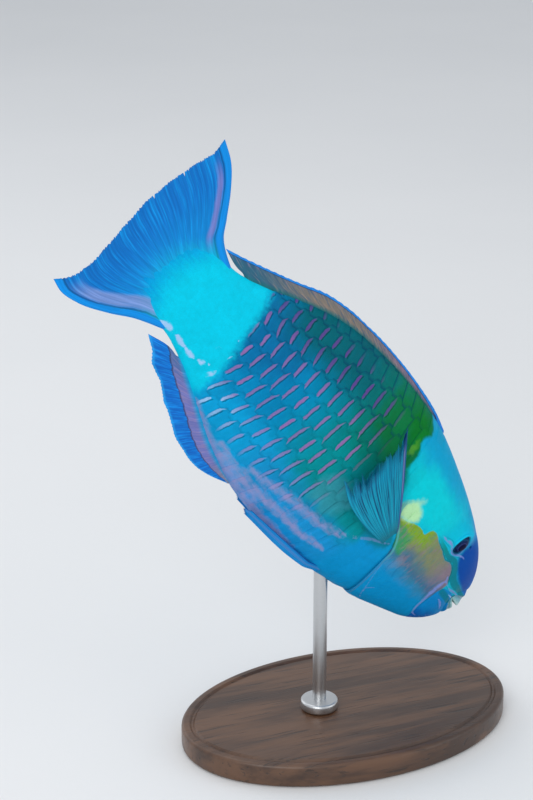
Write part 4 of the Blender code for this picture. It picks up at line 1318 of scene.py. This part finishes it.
class FinPaint(Paint):
    """A fin's material, with its rays, places across and outward, and fine streaks along the rays."""

    def __init__(self, name):
        super().__init__(name, specular=0.13, coat=0.04, coat_roughness=0.15)
        self.ridge, self.across, self.outward = self.attribute("ray", "Vector").parts()
        self.streak = self.join(self.across * 105, self.outward * 1.6).noise(1, 3, 0.6)

    def close(self, colour):
        """Adds ray shading, joints across the rays and a fine grain, and closes the material."""
        sockets = {"Vector": self.join(self.outward, 0), "Scale": 22, "Distortion": 2}
        joints = self.node("TexWave", {"bands_direction": "X"}, sockets)
        grain = self.fish().noise(1.8, 3, 0.6)
        shading = (0.88 + 0.14 * self.ridge) * (0.72 + 0.56 * self.streak) * (0.93 + 0.14 * grain)
        bumps = ((joints * self.ridge, 0.00004), (self.streak, 0.00008), (grain, 0.00006))
        return self.finish(self.layers(colour, (None, shading)), 0.38 + 0.2 * grain, *bumps)


def tail_paint():
    fin = FinPaint("tail_fin")
    place, outward, streak = fin.fish(), fin.outward, fin.streak
    margin, upper, lower = fin.attribute("edges", "Vector").parts()
    uneven = 2 * (place.noise(0.12, 3) - 0.5)
    upper, lower = upper + uneven, lower + uneven
    blue = fin.layers(
        TAIL_BLUE,
        ((0.001, 0.165, 0.56), outward.step(0.3, 0.8)),
        ((0.002, 0.31, 0.76), streak.step(0.46, 0.72) * outward.step(0, 0.4) * 0.8),
    )
    fade = outward.step(0.98, 0.7)
    lilac_up = abs(upper - 8.4).step(2.8, 0.8) * outward.step(0.12, 0.3) * fade
    lilac_low = abs(lower - 9.4).step(5, 2.2) * outward.step(-0.02, 0.06) * fade
    line = fin.math("MAXIMUM", abs(upper - 5.4).step(0.8, 0.2), abs(lower - 4.9).step(0.8, 0.2))
    colour = fin.layers(
        STEM_CYAN,
        (blue, tail_share(place, streak)),
        ((0.2, 0.22, 0.58), lilac_up * 0.85),
        ((0.22, 0.32, 0.66), lilac_low * (0.35 + 0.9 * streak)),
        ((0.002, 0.27, 0.78), fin.math("MAXIMUM", upper.step(5.2, 4.2), lower.step(4.6, 3.6))),
        (None, 1 - 0.4 * line),
        (None, 1 - 0.2 * margin.step(1.6, 0.2)),
    )
    return fin.close(colour)


def dorsal_paint():
    fin = FinPaint("dorsal_fin")
    across, outward, streak = fin.across, fin.outward, fin.streak
    edge = fin.attribute("edges", "Vector").parts()[0] + 0.9 * (streak - 0.5)
    tan = fin.layers(
        (0.24, 0.17, 0.24),
        ((0.23, 0.2, 0.17), across.step(0.25, 0.55)),
        ((0.03, 0.14, 0.22), across.step(0.7, 0.95)),
        ((0.05, 0.13, 0.24), streak.step(0.5, 0.36) * 0.65),
        ((0.4, 0.26, 0.22), streak.step(0.54, 0.7) * 0.55),
    )
    colour = fin.layers(
        (0.01, 0.16, 0.18),
        (tan, outward.step(0.1, 0.34)),
        ((0.1, 0.1, 0.3), edge.step(7.5, 4.5) * streak.step(0.5, 0.7) * 0.5),
        ((0.01, 0.05, 0.2), abs(edge - 2.6).step(0.55, 0.15)),
        (fin.mix((0.01, 0.2, 0.72), (0.02, 0.3, 0.8), streak), edge.step(2.6, 2.2)),
    )
    return fin.close(colour)


def anal_paint():
    fin = FinPaint("anal_fin")
    across, outward, streak = fin.across, fin.outward, fin.streak
    edge = outward + 0.06 * (streak - 0.5) + 0.02 * fin.ridge.step(0.2, 0.8)
    inner = fin.layers(
        (0.18, 0.2, 0.52),
        ((0.26, 0.26, 0.36), across.step(0.25, 0.05)),
        ((0.08, 0.17, 0.4), across.step(0.72, 0.98)),
        ((0.34, 0.24, 0.38), streak.step(0.46, 0.66) * 0.5),
    )
    blue = fin.layers(
        (0.003, 0.15, 0.6),
        ((0.006, 0.27, 0.78), streak.step(0.42, 0.7)),
        ((0.02, 0.36, 0.84), outward.step(0.9, 0.97) * 0.8),
    )
    colour = fin.layers(
        (0.01, 0.34, 0.66),
        (inner, outward.step(0.1, 0.24)),
        (blue, edge.step(0.5, 0.54)),
        (None, 1 - 0.6 * abs(edge - 0.51).step(0.035, 0.01)),
    )
    return fin.close(colour)


def pectoral_paint():
    fin = FinPaint("pectoral_fin")
    ridge, across, outward, streak = fin.ridge, fin.across, fin.outward, fin.streak
    wide = fin.join(across * 34, outward * 1.1).noise(1)
    gaps = (ridge + 1.1 * (streak - 0.5) + 1.8 * (wide - 0.42)).step(0.3, 0)
    lilac = abs(across - 0.052).step(0.026, 0.008) * outward.step(0.96, 0.84)
    lilac = lilac * (0.4 + 0.6 * abs(outward - 0.68).step(0.32, 0.14))
    colour = fin.layers(
        (0.002, 0.19, 0.33),
        ((0.004, 0.4, 0.58), (streak + wide).step(0.8, 1.25)),
        ((0.001, 0.04, 0.13), gaps * outward.step(0.22, 0.55) * 0.9),
        ((0.002, 0.12, 0.34), outward.step(0.6, 0.98) * 0.4),
        ((0.006, 0.34, 0.5), ridge.step(0.75, 1) * 0.35),
        ((0.002, 0.17, 0.24), outward.step(0.3, 0.04) * 0.8),
        ((0.002, 0.07, 0.26), across.step(0.105, 0.07) * 0.9),
        ((0.2, 0.24, 0.46), lilac * 0.8),
        (None, 1 - 0.3 * outward.step(0.8, 1)),
    )
    return fin.close(colour)


def pelvic_paint():
    fin = FinPaint("pelvic_fin")
    colour = fin.layers(
        (0.004, 0.22, 0.62),
        ((0.01, 0.34, 0.74), fin.streak.step(0.4, 0.7)),
        ((0.12, 0.26, 0.62), abs(fin.across - 0.45).step(0.2, 0.08) * 0.5),
        ((0.002, 0.1, 0.42), fin.across.step(0.12, 0.04) * 0.8),
    )
    return fin.close(colour)


def eye_paint():
    """A near-black pupil in a dark navy iris with thin purple and teal rings, under a clear coat."""
    paint = Paint("fish_eye", specular=0, coat=0.18, coat_roughness=0.03)
    angle = paint.attribute("gaze")
    flecks = paint.fish().noise(1.4, 4, 0.65)
    iris = paint.layers(
        (0.002, 0.01, 0.055),
        ((0.006, 0.03, 0.12), flecks.step(0.4, 0.66)),
        ((0.05, 0.05, 0.2), abs(angle - 26.5).step(2.4, 0.8) * 0.7),
        ((0.004, 0.09, 0.2), abs(angle - 44).step(4, 1.5) * 0.6),
    )
    pupil, rim = (0.0004, 0.0015, 0.03), (0.003, 0.012, 0.05)
    colour = paint.layers(pupil, (iris, angle.step(20.5, 22.5)), (rim, angle.step(50, 56)))
    return paint.finish(colour, 0.7 - 0.1 * flecks, (flecks, 0.00004))


def beak_paint():
    """Pale blue-green enamel made of small worn cobbles."""
    paint = Paint("beak_enamel", coat=0.4, coat_roughness=0.15)
    u, v, _ = paint.attribute("plate", "Vector").parts()
    sockets = {"Vector": paint.join(u * 52, v * 15), "Scale": 1}
    cobbles = paint.node("TexVoronoi", {"feature": "F1"}, sockets, "Distance")
    stain = paint.fish().noise(0.8, 3, 0.6)
    colour = paint.layers(
        (0.05, 0.36, 0.46),
        ((0.3, 0.58, 0.58), (v + 0.5 * (stain - 0.5)).step(0.25, 0.95)),
        ((0.02, 0.16, 0.28), v.step(0.22, 0.02) * 0.7),
        (None, 1.06 - 0.35 * cobbles.step(0.4, 0.8)),
    )
    return paint.finish(colour, 0.25 + 0.3 * cobbles, (cobbles, -0.00003), (stain, 0.00006))


def walnut_paint():
    """Oiled walnut with long grain, pores and darker bands."""
    paint = Paint("walnut", coat=0.3, coat_roughness=0.25)
    place = paint.places()
    bands = place.noise(34, 4, 0.6, (0.25, 1.9, 1.9))
    long = place.noise(240, 5, 0.65, (0.06, 1, 1))
    pores = place.noise(620, 2, 0.5, (0.05, 1, 1)).step(0.6, 0.7)
    colour = paint.layers(
        (0.12, 0.055, 0.026),
        ((0.046, 0.02, 0.01), bands.step(0.38, 0.64)),
        (None, 0.72 + 0.55 * long),
        (None, 1 - 0.5 * pores),
    )
    return paint.finish(colour, 0.34 + 0.22 * long, (long, 0.00012), (pores, -0.00012))


def steel_paint():
    """Brushed stainless steel, with fine marks round the rod."""
    paint = Paint("brushed_steel", metallic=1)
    place = paint.places()
    marks = place.noise(900, 3, 0.6, (0.12, 0.12, 6))
    colour = paint.mix((0.5, 0.51, 0.52), (0.66, 0.67, 0.68), marks)
    return paint.finish(colour, 0.22 + 0.16 * marks + 0.08 * place.noise(60), (marks, 0.00003))


def floor_paint():
    paint = Paint("pale_floor")
    place = paint.places()
    fine = place.noise(160)
    colour = paint.mix((0.75, 0.755, 0.76), (0.8, 0.8, 0.8), place.noise(3, 3))
    return paint.finish(colour, 0.75 + 0.1 * fine, (fine, 0.0001))


def cylinder(name, sides, radius, centre, height):
    """An upright cylinder with its origin on the floor's middle."""
    add = bpy.ops.mesh.primitive_cylinder_add
    piece = fresh(name, add, vertices=sides, radius=radius, depth=height, location=centre)
    bpy.ops.object.transform_apply(location=True)
    return piece


def make_stand(wood, steel):
    """The oval base with a routed step, the rod and its collar, each turned finer than the CAD's."""
    low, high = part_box("stand_rod")
    centre = (low + high) / 2
    base = cylinder("stand_plinth", 160, 0.5, (0, 0, BASE_HEIGHT / 2), BASE_HEIGHT)
    oval = corners(base.data) * (BASE_LENGTH, BASE_WIDTH, 1)
    base.data.vertices.foreach_set("co", oval.astype(np.float32).ravel())
    bpy.ops.object.mode_set(mode="EDIT")
    bpy.ops.mesh.select_all(action="DESELECT")
    bpy.ops.object.mode_set(mode="OBJECT")
    for polygon in base.data.polygons:
        polygon.select = polygon.normal.z > 0.9
    bpy.ops.object.mode_set(mode="EDIT")
    for inset, rise in ((STEP_RIM, 0), (GROOVE, -GROOVE), (GROOVE, 0), (GROOVE, GROOVE)):
        bpy.ops.mesh.inset(thickness=inset, depth=rise)
    bpy.ops.object.mode_set(mode="OBJECT")
    bevel(base, BASE_EDGE, 5, 60)
    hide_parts("stand_base")
    finished(base, wood, 32)

    for name, node, radius, edge in (
        ("stand_post", "stand_rod", ROD_RADIUS, ROD_EDGE),
        ("stand_ring", "stand_collar", COLLAR_RADIUS, COLLAR_EDGE),
    ):
        low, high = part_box(node)
        middle = (centre.x, centre.y, (low.z + high.z) / 2)
        piece = cylinder(name, 96, radius, middle, high.z - low.z)
        bevel(piece, edge, 4, 60)
        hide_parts(node)
        finished(piece, steel, 35)


def put(name, data, place, direction, axis):
    """Puts a light or the camera at a place, with its axis along a direction."""
    made = bpy.data.objects.new(name, data)
    made.location = place
    made.rotation_euler = Vector(direction).to_track_quat(axis, "Y").to_euler()
    bpy.context.scene.collection.objects.link(made)
    return made


def make_studio():
    """A pale floor, soft light from the camera's side and from above, and the fitted camera."""
    floor = fresh("floor", bpy.ops.mesh.primitive_plane_add, size=FLOOR_SIZE)
    floor.data.materials.append(floor_paint())

    for name, (place, size, power, colour) in LIGHTS.items():
        light = bpy.data.lights.new(name, "AREA")
        light.shape = "SQUARE"
        light.size = size
        light.energy = power
        light.color = colour
        put(name, light, place, Vector(place) - Vector(LIT_PLACE), "Z")
    world = bpy.data.worlds.new("studio")
    world.use_nodes = True
    sky = world.node_tree.nodes["Background"].inputs
    sky["Color"].default_value = (*SKY_COLOUR, 1)
    sky["Strength"].default_value = SKY_STRENGTH

    lens = bpy.data.cameras.new("camera")
    lens.lens = CAMERA_LENS
    lens.sensor_width = CAMERA_SENSOR
    lens.clip_end = 60
    scene = bpy.context.scene
    scene.world = world
    scene.view_settings.view_transform = "Standard"
    scene.camera = put("camera", lens, CAMERA_PLACE, -Vector(CAMERA_BACK), "-Z")


def make_fish():
    """Every piece of the fish itself."""
    lattice = Lattice()
    skin, beak, eye = skin_paint(), beak_paint(), eye_paint()
    make_skin(lattice, skin)
    make_beak("beak_upper", "upper_beak", 1, beak)
    make_beak("beak_lower", "lower_beak", -1, beak)
    for side, label in ((1, "left"), (-1, "right")):
        make_scales(side, label, lattice, skin, np.random.default_rng(20 + side))
        make_eye(side, label, eye)
        make_orbit(side, label, lattice, skin)
        make_gill_cover(side, label, lattice, skin)
    fins = {"dorsal": dorsal_paint(), "anal": anal_paint(), "tail": tail_paint()}
    make_fins({**fins, "pectoral": pectoral_paint(), "pelvic": pelvic_paint()})


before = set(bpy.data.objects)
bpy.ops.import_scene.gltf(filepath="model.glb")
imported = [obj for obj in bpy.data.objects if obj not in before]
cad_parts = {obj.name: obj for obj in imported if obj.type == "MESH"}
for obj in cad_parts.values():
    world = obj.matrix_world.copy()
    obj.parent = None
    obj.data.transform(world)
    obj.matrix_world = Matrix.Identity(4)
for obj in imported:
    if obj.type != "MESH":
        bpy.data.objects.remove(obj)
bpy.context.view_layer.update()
make_studio()
make_fish()
make_stand(walnut_paint(), steel_paint())
